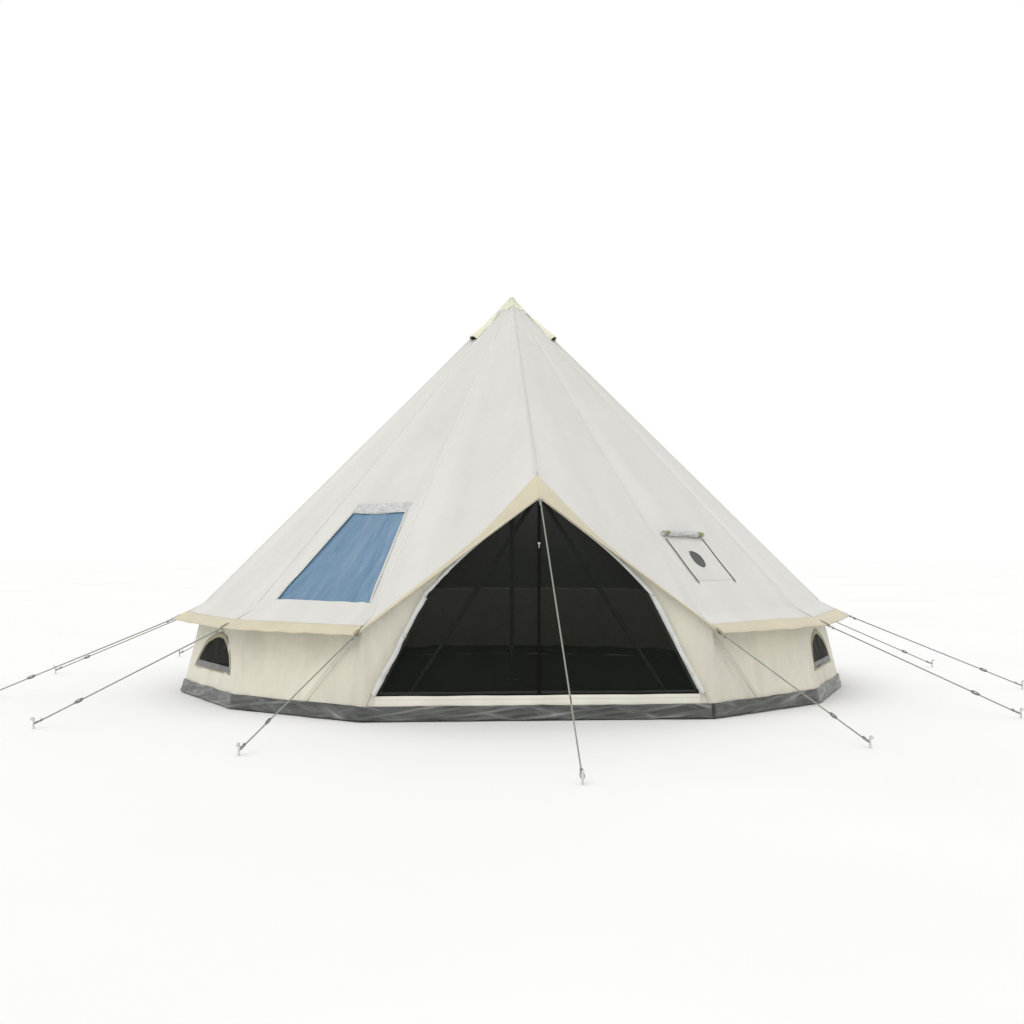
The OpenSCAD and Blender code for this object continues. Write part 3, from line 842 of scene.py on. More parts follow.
def make_roof():
    """The canopy: one continuous sheet over all bays and the hood, with the sky window cut out."""
    s = np.concatenate([
        np.linspace(0.004, 1, ROOF_ROWS) ** 0.9,
        1 + np.linspace(0, 0.985, BRIM_ROWS + 1)[1:],
    ])[:, None]
    bays = list(range(-1, SIDES - 1))
    grids = [roof_points(k, spread(BAY_COLUMNS)[None, :-1], s) for k in bays]
    points = np.concatenate(grids, axis=1)
    cols = points.shape[1]
    below = np.clip(s[:, 0] - 1, 0, 1)
    points[..., 2] -= (0.0055 * below)[:, None]
    slant = np.concatenate([[0], np.cumsum(np.linalg.norm(np.diff(points[:, 13], axis=0), axis=1))])
    bm = bmesh.new()
    verts = [[bm.verts.new(points[r, c]) for c in range(cols)] for r in range(len(s))]
    layer = bm.loops.layers.uv.verify()
    faces = {}
    for r in range(len(s) - 1):
        for c in range(cols):
            d = (c + 1) % cols
            loop = ((r, c, c), (r, d, c + 1), (r + 1, d, c + 1), (r + 1, c, c))
            face = bm.faces.new([verts[i][j] for i, j, _ in loop])
            for corner_loop, (i, j, step_at) in zip(face.loops, loop):
                width = (step_at / BAY_COLUMNS % 1.0001 - 0.5) * 1.05 * min(1, slant[i] / slant[-1])
                corner_loop[layer].uv = (width, slant[i])
            faces[r, c] = face
    centre = bm.verts.new(APEX + np.array([0, 0, LAY]))
    for c in range(cols):
        bm.faces.new((centre, verts[0][(c + 1) % cols], verts[0][c]))
    first = (SKY_BAY + 1) % SIDES * BAY_COLUMNS
    sky_faces = [faces[r, c] for r in range(len(s) - 1) for c in range(first, first + BAY_COLUMNS)]
    cut_hole(bm, sky_faces, sky_planes())
    bmesh.ops.recalc_face_normals(bm, faces=bm.faces)
    nodes = side_nodes("roof") + ["hood_left", "hood_right"]
    return piece("roof_sheet", bm, roof_canvas, nodes)


def sky_corners():
    """Corners of the sky window in plan of its bay, from the node's mesh: top and bottom."""
    u, r = bay_plan("sky_window", SKY_BAY)
    top, bottom = r.min(), r.max()
    at_top, at_bottom = u[r < top + 0.02], u[r > bottom - 0.02]
    return (at_top.min(), at_top.max(), top), (at_bottom.min(), at_bottom.max(), bottom)


def sky_outline():
    """The sky window's corners in order round it, in plan of its bay."""
    (a, b, top), (c, d, bottom) = sky_corners()
    return (a, top), (b, top), (d, bottom), (c, bottom)


def planes_round(spots, middle, normal):
    """Cutting planes through neighbouring spots of an outline, facing its middle."""
    planes = []
    for p, q in zip(spots, spots[1:] + spots[:1]):
        inward = np.cross(q - p, normal)
        inward = inward if inward @ (middle - p) > 0 else -inward
        planes.append((p, unit(inward)))
    return planes


def sky_planes():
    spots = [on_bay(SKY_BAY, u, r) for u, r in sky_outline()]
    return planes_round(spots, sum(spots) / 4, [0, 0, 1])


def half_moon(width, height, count=20):
    """Outline of a wall window from its middle foot line: u, z pairs round the arch."""
    r = (width * width / 4 + height * height) / (2 * height)
    start = math.asin(1 - height / r)
    a = np.linspace(start, math.pi - start, count + 1)
    return np.stack([r * np.cos(a), height - r + r * np.sin(a)], axis=1)


WINDOW_LOW = low("window_meshes").z
WINDOW_HIGH = high("window_meshes").z
WINDOW_TALL = WINDOW_HIGH - WINDOW_LOW
WINDOW_SIDES = (-5, -3, 2, 4)


def window_planes(k):
    a = (k + 0.5) * STEP
    outline = half_moon(WINDOW_W, WINDOW_TALL)
    spots = [on_wall(k, u, WINDOW_LOW + z) for u, z in outline]
    middle = on_wall(k, 0, (WINDOW_LOW + WINDOW_HIGH) / 2)
    return planes_round(spots, middle, np.array([math.sin(a), -math.cos(a), 0.2]))


def make_walls():
    """The low wall in one sheet, from one diagonal seam round to the other, windows cut out."""
    h = np.linspace(-0.03, 1.0, WALL_ROWS + 1)[:, None]
    bays = list(range(1, SIDES - 1))
    count = 22
    grids = [wall_points(k if k < SIDES - 2 else -2, spread(count)[None, :-1], h) for k in bays]
    grids.append(wall_points(-2, np.ones((1, 1)), h))
    points = np.concatenate(grids, axis=1)
    bm = bmesh.new()
    faces = add_grid(bm, points, metres_uv(points))
    cols = points.shape[1] - 1
    for k in WINDOW_SIDES:
        first = ((k if k > 0 else k + SIDES) - 1) * count
        chosen = [faces[r * cols + c] for r in range(WALL_ROWS) for c in range(first, first + count)]
        cut_hole(bm, chosen, window_planes(k))
    return piece("wall_sheet", bm, wall_canvas, side_nodes("wall"))


def resample(points, marks, count):
    """Points along a polyline whose corners sit at the given marks."""
    points = np.asarray(points, float)
    t = np.linspace(0, marks[-1], count)
    return np.stack([np.interp(t, marks, points[:, i]) for i in range(3)], axis=1)


FRONT_X = BASE_R * math.sin(STEP)
CREASE_PART = (HOOD_Y - FRONT_Y) / (HOOD_Y + FOLD_CORNER[1])
CREASE = TIP + CREASE_PART * (FOLD_CORNER - TIP)
FRONT_PART = (FRONT_Y + FOLD_CORNER[1]) / (FOLD_CORNER[1] - BRIM_CORNER[1])
FRONT_TOP = FOLD_CORNER + FRONT_PART * (BRIM_CORNER - FOLD_CORNER)
RIDGE_Z = TOP_Z - ROOF_T - (TOP_Z - ROOF_T - TIP[2]) * FRONT_Y / HOOD_Y
KNEE_X = DOOR_W / 2 - KNEE_INSET


def front_relief(x, z):
    """Loose folds in the upright cloth beside the door."""
    wide = 0.007 * noise(x * 3.1, z * 2.3, 1)
    slant = 0.0050 * noise((x + z * 0.6) * 13, (x - z) * 2.2, 2)
    fine = 0.0022 * noise(x * 19, z * 26, 3)
    return wide + slant + fine


DOOR_BULGE = 0.048


def make_front(side):
    """One cloth from the door's edge, round the corner of the front, to the diagonal seam."""
    name = "left" if side < 0 else "right"
    y = -FRONT_Y
    q = np.linspace(0, 1, 12)
    upper = np.stack([
        lerp(0, KNEE_X, q) + DOOR_BULGE * np.sin(np.pi * q), np.full_like(q, y),
        lerp(DOOR_TOP, KNEE_Z, q),
    ], axis=1)
    inner = [*upper, (KNEE_X + 0.16, y, KNEE_Z - 0.313),
             (DOOR_W / 2, y, SILL_Z), (DOOR_W / 2, y, RIM_H - 0.02)]
    marks = [*q, 1.4, 1.95, 2.05]
    top = np.array([0, y, RIDGE_Z])
    reach = np.array([FRONT_TOP[0], y, FRONT_TOP[2]])
    outer = [top, lerp(top, reach, 0.60), reach, (FRONT_X, y, SILL_Z + 0.03), (FRONT_X, y, RIM_H - 0.02)]
    count = 83
    a = resample(inner, marks, count)
    b = resample(outer, [0, 1.0, 1.4, 1.95, 2.05], count)
    t = np.linspace(0, 1, 15)[None, :, None]
    panel = a[:, None] * (1 - t) + b[:, None] * t
    relief = front_relief(panel[..., 0] + 5 * side, panel[..., 2])
    hold = np.clip(t[..., 0] * 6, 0, 1)
    panel[..., 1] += 0.004 - np.abs(relief) * hold * 0.9
    first = int(math.ceil(1.4 / 2.05 * (count - 1)))
    foot = lerp(corner(WALL_FOOT_R, 1, RIM_H - 0.02), corner(WALL_FOOT_R, 2, RIM_H - 0.02), SEAM_SHARE)
    share = np.linspace(0, 1, count - first)[:, None]
    finish = lerp(FOLD_CORNER, foot, share)
    t = np.linspace(0, 1, 20)[None, :, None]
    start = panel[first:, -1][:, None]
    gusset = start * (1 - t) + finish[:, None] * t
    out = np.array([0.66, -0.75, 0.0])
    relief = 0.008 * noise(t[..., 0] * 5, gusset[..., 2] * 2 + 3 * side, 2)
    relief = relief + 0.0045 * noise(t[..., 0] * 9 + gusset[..., 2] * 7 + side, gusset[..., 2] * 3, 4)
    hold = np.clip(np.minimum(t[..., 0], 1 - t[..., 0]) * 5, 0, 1)
    gusset = gusset + out * (relief * hold)[..., None]
    flip = np.array([side, 1, 1])
    bm = bmesh.new()
    uv = metres_uv(panel)
    add_grid(bm, panel * flip, uv)
    more = metres_uv(gusset)
    more[..., 0] += uv[..., 0].max()
    more[..., 1] += uv[first, 0, 1]
    add_grid(bm, gusset * flip, more)
    bmesh.ops.remove_doubles(bm, verts=bm.verts, dist=1e-5)
    inside = [v for v in bm.verts if not v.is_boundary]
    near = [v for v in inside if abs(abs(v.co.x) - FRONT_X) < 0.10]
    for _ in range(10):
        bmesh.ops.smooth_vert(
            bm, verts=near, factor=0.5, use_axis_x=True, use_axis_y=True, use_axis_z=True
        )
    nodes = ["front_panel_" + name, "front_gusset_" + name]
    return piece("front_cloth_" + name, bm, shaded_front_canvas, nodes)


SEAM_ROWS = (-0.020, 0.001), (-0.017, 0.0045), (0.0, 0.0055), (0.017, 0.0045), (0.020, 0.001)


def diagonal_seams():
    """Double seams where the front meets the walls, and short ones below the door's corners."""
    strips = []
    foot = lerp(corner(WALL_FOOT_R, 1, RIM_H - 0.01), corner(WALL_FOOT_R, 2, RIM_H - 0.01), SEAM_SHARE)
    along = np.array([math.cos(1.5 * STEP), math.sin(1.5 * STEP), 0])
    out = np.array([math.sin(1.5 * STEP), -math.cos(1.5 * STEP), 0])
    t = np.linspace(0.04, 1, 40)[:, None]
    line = lerp(FOLD_CORNER, foot, t)
    small = np.array([[DOOR_W / 2 + 0.030, SILL_Z + 0.02], [DOOR_W / 2 + 0.066, RIM_H - 0.005]])
    for side in (-1, 1):
        flip = np.array([side, 1, 1])
        wave = 0.0012 * noise(t[:, 0] * 12, side * 3.0, 4)[:, None]
        strips.append(np.stack([
            (line + along * o + out * (lift + wave)) * flip
            for o, lift in SEAM_ROWS
        ]))
        spot = lerp(small[0], small[1], np.linspace(0, 1, 14)[:, None])
        strips.append(np.stack([
            np.stack([side * (spot[:, 0] + o), np.full(14, -FRONT_Y - lift), spot[:, 1]], axis=1)
            for o, lift in raised(0.007, 0.005, 0.001, 0.004)
        ]))
    return strips


# Bands, seams and hems: narrow strips laid on the cloth


def strip(name, rows, material, nodes):
    """A strip of band cloth through rows of points, each row running along it."""
    return merge_strips(name, [np.stack(rows)], material, nodes)


def roof_seam_rows():
    """Flat seams down every corner of the roof, from under the cap to the brim."""
    half = 0.011
    s = np.concatenate([np.linspace(0.05, 1, 90), 1 + np.linspace(0, BRIM_SPLIT, 6)[1:]])
    strips = []
    for k in range(1, SIDES):
        rows = []
        for offset, lift in ((-half, 0.0006), (-half * 0.8, 0.0022), (0, 0.0026),
                             (half * 0.8, 0.0022), (half, 0.0006)):
            bay = k if offset >= 0 else k - 1
            width = 2 * np.clip(s, 0.03, 1.2) * EAVE_R * math.sin(STEP / 2)
            t = offset / width if offset >= 0 else 1 + offset / width
            if bay == 0:
                width = np.clip(s, 0.03, 1.2) * np.linalg.norm(FOLD_CORNER - TIP)
                t = 1 + offset / width
            if bay == SIDES - 1:
                bay, width = -1, np.clip(s, 0.03, 1.2) * np.linalg.norm(FOLD_CORNER - TIP)
                t = offset / width
            rows.append(roof_points(bay, t, s, lift))
        strips.append(np.stack(rows))
    rows = []
    s = np.linspace(0.05, 0.997, 90)
    width = s * np.linalg.norm(FOLD_CORNER - TIP)
    for offset, lift in ((-half, 0.0006), (-half * 0.8, 0.0022), (half * 0.8, 0.0022), (half, 0.0006)):
        bay = 0 if offset >= 0 else -1
        t = offset / width if offset >= 0 else 1 + offset / width
        rows.append(roof_points(bay, t, s, lift))
    strips.append(np.stack(rows))
    return strips


# Rows of the bands: share of the way out to the edge, and lift; the last rows turn under
EAVE_LEVELS = (
    (BRIM_SPLIT - 0.01, 0.0010), (BRIM_SPLIT, 0.0046), (BRIM_SPLIT + 0.08, 0.0046), (0.75, 0.0046),
    (0.90, 0.0044), (0.985, 0.0040), (1.0, 0.001), (0.992, -0.004), (0.95, -0.0045), (0.80, -0.004),
)
HOOD_LEVELS = (
    (0.0, 0.0010), (0.04, 0.0050), (0.14, 0.0056), (0.28, 0.0056), (0.42, 0.0056), (0.56, 0.0056),
    (0.70, 0.0054), (0.84, 0.0052), (0.95, 0.0048), (1.0, 0.0010), (0.97, -0.004), (0.8, -0.004),
)


def eave_band(side):
    """The folded sand-coloured edge of the brim, on one side."""
    bays = range(1, LAST) if side > 0 else range(LAST, SIDES - 1)
    rows = []
    for level, lift in EAVE_LEVELS:
        parts = []
        for i, k in enumerate(bays):
            t = spread(24)
            t = t if i == len(bays) - 1 else t[:-1]
            angle = k + t
            wave = 0.0035 * noise(angle * 11, level * 2, 5) + 0.002 * noise(angle * 29, level * 3, 6)
            wave = wave * np.clip(np.minimum(t, 1 - t) * 8, 0, 1)
            droop = -0.010 * np.sin(np.pi * t) * max(0.0, level - BRIM_SPLIT)
            p = roof_points(k, t, np.full_like(t, 1 + level), lift)
            p[:, 2] += (wave + droop) * np.clip((level - BRIM_SPLIT) * 3, 0, 1)
            parts.append(p)
        rows.append(np.concatenate(parts))
    name = "right" if side > 0 else "left"
    return strip("brim_band_" + name, rows, sand_band, ["eave_band_" + name])


def hood_band():
    """The band along the hood's front edge: wide at the point, narrow down to the corners."""
    t = np.concatenate([np.linspace(0, 0.3, 30), np.linspace(0.3, 0.97, 40)[1:]])
    fold, edge = bay_lines(0, t)
    width = np.interp(t * BRIM_CORNER[0], BAND_X, BAND_WIDTH)
    brim = np.maximum(fold[:, 2] - edge[:, 2], 1e-5)
    rows = []
    for part, lift in HOOD_LEVELS:
        above = width * (1 - part)
        s = np.where(above < brim, 2 - above / brim, 1 - (above - brim) / (APEX[2] - fold[:, 2]))
        half = roof_points(0, t, s, lift)
        rows.append(np.concatenate([(half * [-1, 1, 1])[::-1], half[1:]]))
    return strip("hood_band", rows, sand_band, ["hood_band_trim"])


roof = make_roof()
walls = make_walls()
fronts = [make_front(side) for side in (-1, 1)]
bands = [eave_band(side) for side in (-1, 1)]
hood_trim = hood_band()
seams = merge_strips("roof_seams", roof_seam_rows(), roof_seam)
merge_strips("diagonal_seams", diagonal_seams(), double_seam)


# Groundsheet: floor and rim


def rim_path():
    """Plan points round the foot of the tent, and how far along each side they are."""
    points = []
    for k in range(SIDES):
        a, b = corner(BASE_R, k, 0), corner(BASE_R, k + 1, 0)
        if k == SIDES - 1:
            a, b = corner(BASE_R, -1, 0), corner(BASE_R, 1, 0)
        if k == 0:
            continue
        count = 110 if k == SIDES - 1 else 56
        for t in np.linspace(0, 1, count + 1)[:-1]:
            points.append(lerp(a, b, t))
    points = np.array(points)
    ahead = np.roll(points, -2, axis=0) - np.roll(points, 2, axis=0)
    out = unit(np.stack([ahead[:, 1], -ahead[:, 0], 0 * ahead[:, 0]], axis=1))
    out = out * np.sign((out * points).sum(1))[:, None]
    lengths = np.linalg.norm(np.diff(points, axis=0, append=points[:1]), axis=1)
    along = np.concatenate([[0], np.cumsum(lengths)[:-1]])
    return points, out, along


# How far out each row of the rim stands, and its height, from its foot over its top edge
RIM_PROFILE = (
    (-0.030, 0.004), (0.004, 0.003), (0.0125, 0.006), (0.012, 0.020), (0.010, 0.034), (0.011, 0.050),
    (0.010, 0.066), (0.008, 0.082), (0.0075, 0.092), (0.0055, 0.0985), (0.001, 0.099),
    (-0.003, 0.094), (-0.004, 0.078),
)


def make_rim():
    """The raised edge of the groundsheet, creased and sagging a little between its pegs."""
    points, out, along = rim_path()
    rows = []
    turn = np.abs(np.arctan2(points[:, 0], -points[:, 1])) / STEP
    leaning = np.where(points[:, 1] < -FRONT_Y + 1e-4, 0.0, np.clip((turn - 1) / SEAM_SHARE, 0, 1))
    for reach, height in RIM_PROFILE:
        free = np.clip(math.sin(math.pi * min(1, height / 0.098)) + 0.22, 0, 1)
        wave = 0.0075 * noise(along * 6.5, height * 9, 1)
        wave = wave + 0.006 * noise(along * 12 + height * 90, height * 16, 2)
        crease = 0.013 * (ridged(along * 7 + height * 55, height * 10 + along * 2, 4) - 0.7)
        crease = crease + 0.010 * (ridged(along * 11 - height * 70, height * 9, 6) - 0.7)
        back = -(BASE_R - WALL_FOOT_R) * height / RIM_H * 0.9 * leaning
        shift = reach + back + np.maximum((wave + crease) * free, -0.005)
        if height > 0.09:
            shift = reach + back + np.maximum(wave * 0.35, -0.001)
        p = points + out * shift[:, None]
        sagging = 0.0035 * noise(along * 5.2, 3.3, 3) + 0.002 * noise(along * 16, 4.1, 5)
        p[:, 2] = height + sagging * np.clip(height / 0.05 - 0.4, 0, 1) - 0.002
        if height < 0.007:
            p[:, 2] = height + 0.0015 + np.maximum(0, 0.004 * noise(along * 8, 1.2, 6))
        rows.append(p)
    grid = np.stack(rows)
    bm = bmesh.new()
    height = np.cumsum([0.0] + [math.dist(a, b) for a, b in zip(RIM_PROFILE, RIM_PROFILE[1:])])
    uv = np.stack(np.meshgrid(along, height), axis=2)
    add_grid(bm, grid, uv, closed=True)
    nodes = ["sheet_rim_front", "sheet_rim_left", "sheet_rim_right"]
    return piece("rim_sheet", bm, rim_pvc, nodes)


def make_groundsheet():
    """The floor inside the rim, lying with small bumps."""
    points = rim_path()[0]
    rings = np.concatenate([np.linspace(0.02, 0.9, 26), [0.94, 0.975, 0.992]])
    rows = []
    for f in rings:
        p = points * f
        bump = 0.0022 * noise(p[:, 0] * 2.3, p[:, 1] * 2.3, 1)
        bump = bump + 0.0014 * ridged(p[:, 0] * 5.1 + p[:, 1], p[:, 1] * 4.7, 2)
        p[:, 2] = SHEET_T * 0.55 + bump.clip(-0.003, 0.004)
        rows.append(p)
    grid = np.stack(rows)
    bm = bmesh.new()
    add_grid(bm, grid, grid[..., :2], closed=True)
    bm.verts.ensure_lookup_table()
    bm.faces.new([bm.verts[i] for i in range(len(points) - 1, -1, -1)])
    return piece("ground_cloth", bm, floor_pvc, ["ground_sheet"])


# The groundsheet's dark PVC, made darker still as painted shade of the tent's inside.
floor_pvc = coated("floor_pvc", (0.016, 0.017, 0.017), 0.45, (1.2, 1.2, 1.2), coat=0.1)
rim = make_rim()
ground_cloth = make_groundsheet()


# Door: mesh, zip, sill and rolled canvas


def door_half_width(z):
    """Half the width of the door opening at height z."""
    z = np.asarray(z, float)
    lower = np.interp(z, [SILL_Z, KNEE_Z], [DOOR_W / 2, KNEE_X])
    upper = np.interp(z, [KNEE_Z, DOOR_TOP], [KNEE_X, 0.0])
    part = np.clip((z - KNEE_Z) / (DOOR_TOP - KNEE_Z), 0, 1)
    upper = upper + DOOR_BULGE * np.sin(np.pi * part)
    return np.where(z < KNEE_Z, lower, upper)


MESH_Y = -FRONT_Y + 0.006


def make_mesh_half(side):
    """One leaf of the mesh door, hanging in loose folds from its edges."""
    upper = np.linspace(KNEE_Z, DOOR_TOP - 0.002, 34)[1:]
    z = np.concatenate([np.linspace(SILL_Z - 0.02, KNEE_Z, 44), upper])
    t = np.linspace(0, 1, 44)
    half = door_half_width(z)[:, None] + 0.010
    x = half * t[None, :] + 0.004
    zz = np.repeat(z[:, None], len(t), axis=1)
    free = np.sin(np.pi * np.clip(t, 0, 1))[None, :] * np.ones_like(zz)
    free = free * np.clip((zz - SILL_Z) / 0.15, 0, 1) ** 0.6
    hang = noise(x * 5.3 + side * 7, zz * 0.9, 1) * 0.0055 + noise(x * 13 + side, zz * 1.7, 2) * 0.0022
    slant = ridged((x + zz * 0.75) * 6.5 + side * 3, (x - zz) * 1.5, 3) - 0.6
    weight = 1.25 if side > 0 else 0.7
    relief = (hang + slant * 0.016 * weight) * free
    behind = 0.004 - 0.008 * np.clip(free * 3, 0, 1)
    points = np.stack([x * side, MESH_Y + behind - np.abs(relief), zz], axis=2)
    name = "left" if side < 0 else "right"
    return grid_piece("mesh_cloth_" + name, points, insect_mesh, ["door_mesh_" + name])


DOOR_COILS = 330


def make_zip():
    """Zip tape down the middle with its coil, a slider and a pull."""
    bm = bmesh.new()
    y = MESH_Y - 0.006
    z = np.linspace(SILL_Z - 0.012, DOOR_TOP - 0.012, 120)
    wander = 0.0016 * noise(z * 3, 2.0, 3)
    rows = [np.stack([wander + x, np.full_like(z, y + d), z], axis=1)
            for x, d in ((-0.009, 0.002), (-0.004, 0.0), (0.0, -0.0006), (0.004, 0.0), (0.009, 0.002))]
    add_grid(bm, np.stack(rows), strip_uv(np.stack(rows)))
    a = np.linspace(0, DOOR_COILS * 2 * math.pi, DOOR_COILS * 5)
    zz = np.linspace(SILL_Z, DOOR_TOP - 0.03, len(a))
    coil = np.stack([
        0.0032 * np.cos(a) + np.interp(zz, z, wander), y - 0.0022 + 0.0014 * np.sin(a), zz,
    ], axis=1)
    add_tube(bm, coil, 0.0007, 4)
    piece("zip_tape", bm, zip_black, ["door_zip"])
    bm = bmesh.new()
    at = DOOR_TOP * 0.80
    for rise in (0.0, 0.006):
        ring = [(0.0035 * math.cos(b) * 2, y - 0.007 + 0.004 * math.sin(b), at + rise)
                for b in turns(13)]
        add_tube(bm, ring, 0.0028, 8, caps=False)
    loop = [(0.0022 * math.sin(b), y - 0.0115, at - 0.012 - 0.014 * math.cos(b)) for b in turns(17)]
    add_tube(bm, loop, 0.0012, 6, caps=False)
    piece("zip_slider", bm, bright_metal, [])


def mesh_hem(side):
    """The tape that hems the mesh along its foot and its slanting side."""
    x = np.linspace(0.012, DOOR_W / 2 - 0.004, 70)
    foot = np.stack([
        np.stack([side * x, MESH_Y - d - 0.003 + 0 * x, SILL_Z + h + 0.002 * noise(x * 4, 1, 2)], axis=1)
        for h, d in ((0.010, 0.0), (0.013, 0.0025), (0.024, 0.0025), (0.027, 0.0))
    ])
    z = np.linspace(SILL_Z + 0.02, KNEE_Z, 50)
    slant = np.stack([
        np.stack([side * (door_half_width(z) - o), MESH_Y - d - 0.003 + 0 * z, z], axis=1)
        for o, d in ((0.020, 0.0), (0.017, 0.0025), (0.006, 0.0025), (0.003, 0.0))
    ])
    return [foot, slant]


# Height of each row of the sill and how far it stands out
SILL_LEVELS = (
    (RIM_H - 0.015, 0.004), (RIM_H + 0.006, 0.001), (RIM_H + 0.024, -0.001), (SILL_Z - 0.014, -0.0015),
    (SILL_Z - 0.003, -0.003), (SILL_Z, -0.0015), (SILL_Z - 0.002, 0.0015),
)


def make_sill():
    """Canvas strip under the mesh, hemmed and slightly puckered, with a lighter welt."""
    x = np.linspace(-DOOR_W / 2 - 0.004, DOOR_W / 2 + 0.004, 150)
    rows = []
    for z, d in SILL_LEVELS:
        pucker = 0.0026 * noise(x * 8, z * 20, 2) + 0.0012 * noise(x * 23, z * 30, 4)
        height = np.full_like(x, z) + 0.0012 * noise(x * 5, 3, 1)
        rows.append(np.stack([x, -FRONT_Y - 0.001 + d - pucker, height], axis=1))
    return strip("sill_cloth", rows, sill_cloth, ["door_sill"])


def roll_frame(path):
    """A roll's direction, and two directions square to it."""
    d = unit(path[-1] - path[0])
    u = unit(np.cross(d, [0, 1, 0]))
    return d, u, np.cross(d, u)


def side_roll(side):
    """The main roll beside the opening: its middle line and its rings of points."""
    start = np.array([DOOR_W / 2 + 0.012, -FRONT_Y - 0.020, SILL_Z + 0.012])
    knee = np.array([KNEE_X + 0.022, -FRONT_Y - 0.022, KNEE_Z - 0.02])
    t = np.linspace(0, 1, ROLL_STEPS)
    path = start + (knee - start) * t[:, None]
    path[:, 1] += 0.002 * noise(t * 7 + side, 1.0, 2)
    path[:, 0] += 0.004 * noise(t * 5 + side * 3, 2.0, 3)
    pinch = np.exp(-((t[:, None] - [*TIE_SHARES, 0.97]) / 0.02) ** 2).sum(1)
    radius = 0.0155 + 0.0022 * noise(t * 9 + side, 5.0, 1) - 0.003 * pinch
    rings = tube(path, radius, 20)
    squash = 0.0016 * np.sin(np.arange(20) * 2 * math.pi / 20 * 3 + 4 * t[:, None] * 6)
    centre = rings.mean(1, keepdims=True)
    return path, centre + (rings - centre) * (1 + squash[..., None] / 0.016)


def roll_tail(side):
    """The thinner part of the roll, which runs on up the door's slanting edge."""
    t = np.linspace(0, 1, 46)
    z = lerp(KNEE_Z - 0.03, lerp(KNEE_Z, DOOR_TOP, 0.52), t)
    path = np.stack([door_half_width(z) + 0.016 - 0.004 * t, 0 * z - FRONT_Y - 0.010, z], axis=1)
    path[:, 0] += 0.003 * noise(t * 7 + side, 3.0, 2)
    slim = (0.0135 - 0.0085 * t) * (1 + 0.20 * noise(t * 14 + side, 1.0, 5))
    rings = tube(path, slim, 14)
    middle = rings.mean(1, keepdims=True)
    a = np.arange(14) / 14 * 2 * math.pi
    crumple = 1 + 0.16 * np.sin(a * 3 + 20 * t[:, None]) + 0.12 * noise(a * 2, t[:, None] * 22, 1)
    rings = middle + (rings - middle) * crumple[..., None]
    rings[..., 1] = np.minimum(lerp(rings[..., 1], middle[..., 1], 0.35), -FRONT_Y - 0.001)
    return rings


ROLL_STEPS = 60
TIE_SHARES = 0.2, 0.62


def make_rolls():
    """The outer door canvas rolled up beside the lower sides of the opening, with its ties."""
    rolls, ties = bmesh.new(), bmesh.new()
    for side in (-1, 1):
        flip = np.array([side, 1, 1])
        path, rings = side_roll(side)
        add_grid(rolls, rings * flip, closed=True)
        d, u, w = roll_frame(path)
        a = np.linspace(0, 5.5 * math.pi, 44)
        spin = 0.0135 * (1 - a / (6.2 * math.pi))
        spiral = spin[:, None] * (np.cos(a)[:, None] * u + np.sin(a)[:, None] * w)
        for end, past in ((0, -0.001), (-1, 0.001)):
            add_tube(rolls, (path[end] + past * d + spiral) * flip, 0.0013, 5)
        a = turns(25)
        for share in TIE_SHARES:
            middle = path[int(share * (ROLL_STEPS - 1))]
            loop = middle + 0.0162 * (np.cos(a)[:, None] * u + np.sin(a)[:, None] * w)
            add_grid(ties, np.stack([(loop + d * o) * flip for o in (-0.006, 0.006)]))
        add_grid(rolls, roll_tail(side) * flip, closed=True)
    piece("door_canvas_rolls", rolls, roll_canvas, ["door_rolls"])
    thicken(piece("roll_ties", ties, roll_canvas, []), 0.0016)


bright_metal = steel("bright_metal", (0.75, 0.75, 0.74), 0.25)
sill_cloth = stitched("sill_cloth", (0.80, 0.78, 0.68), (0.42, 0.40, 0.33), (0.010, 0.050))
roll_canvas = woven("roll_canvas", (0.64, 0.64, 0.62), CLOTH_PITCH, blotch=0.14)
mesh_halves = [make_mesh_half(side) for side in (-1, 1)]
mesh_hems = merge_strips("mesh_hems", mesh_hem(-1) + mesh_hem(1), hem_tape)
make_zip()
sill = make_sill()
make_rolls()


# Roof details: sky window, stove outlet, vents and cap


def bay_grid(corners, rows, cols):
    """Plan points of a patch between four corners, given as left and right at top and bottom."""
    (a, b, top), (c, d, bottom) = corners
    v = np.linspace(0, 1, rows)[:, None]
    h = np.linspace(0, 1, cols)[None, :]
    u = lerp(lerp(a, b, h), lerp(c, d, h), v)
    return u, np.broadcast_to(lerp(top, bottom, v), u.shape)


LAP = 0.014  # how far the sky pane reaches under the roof


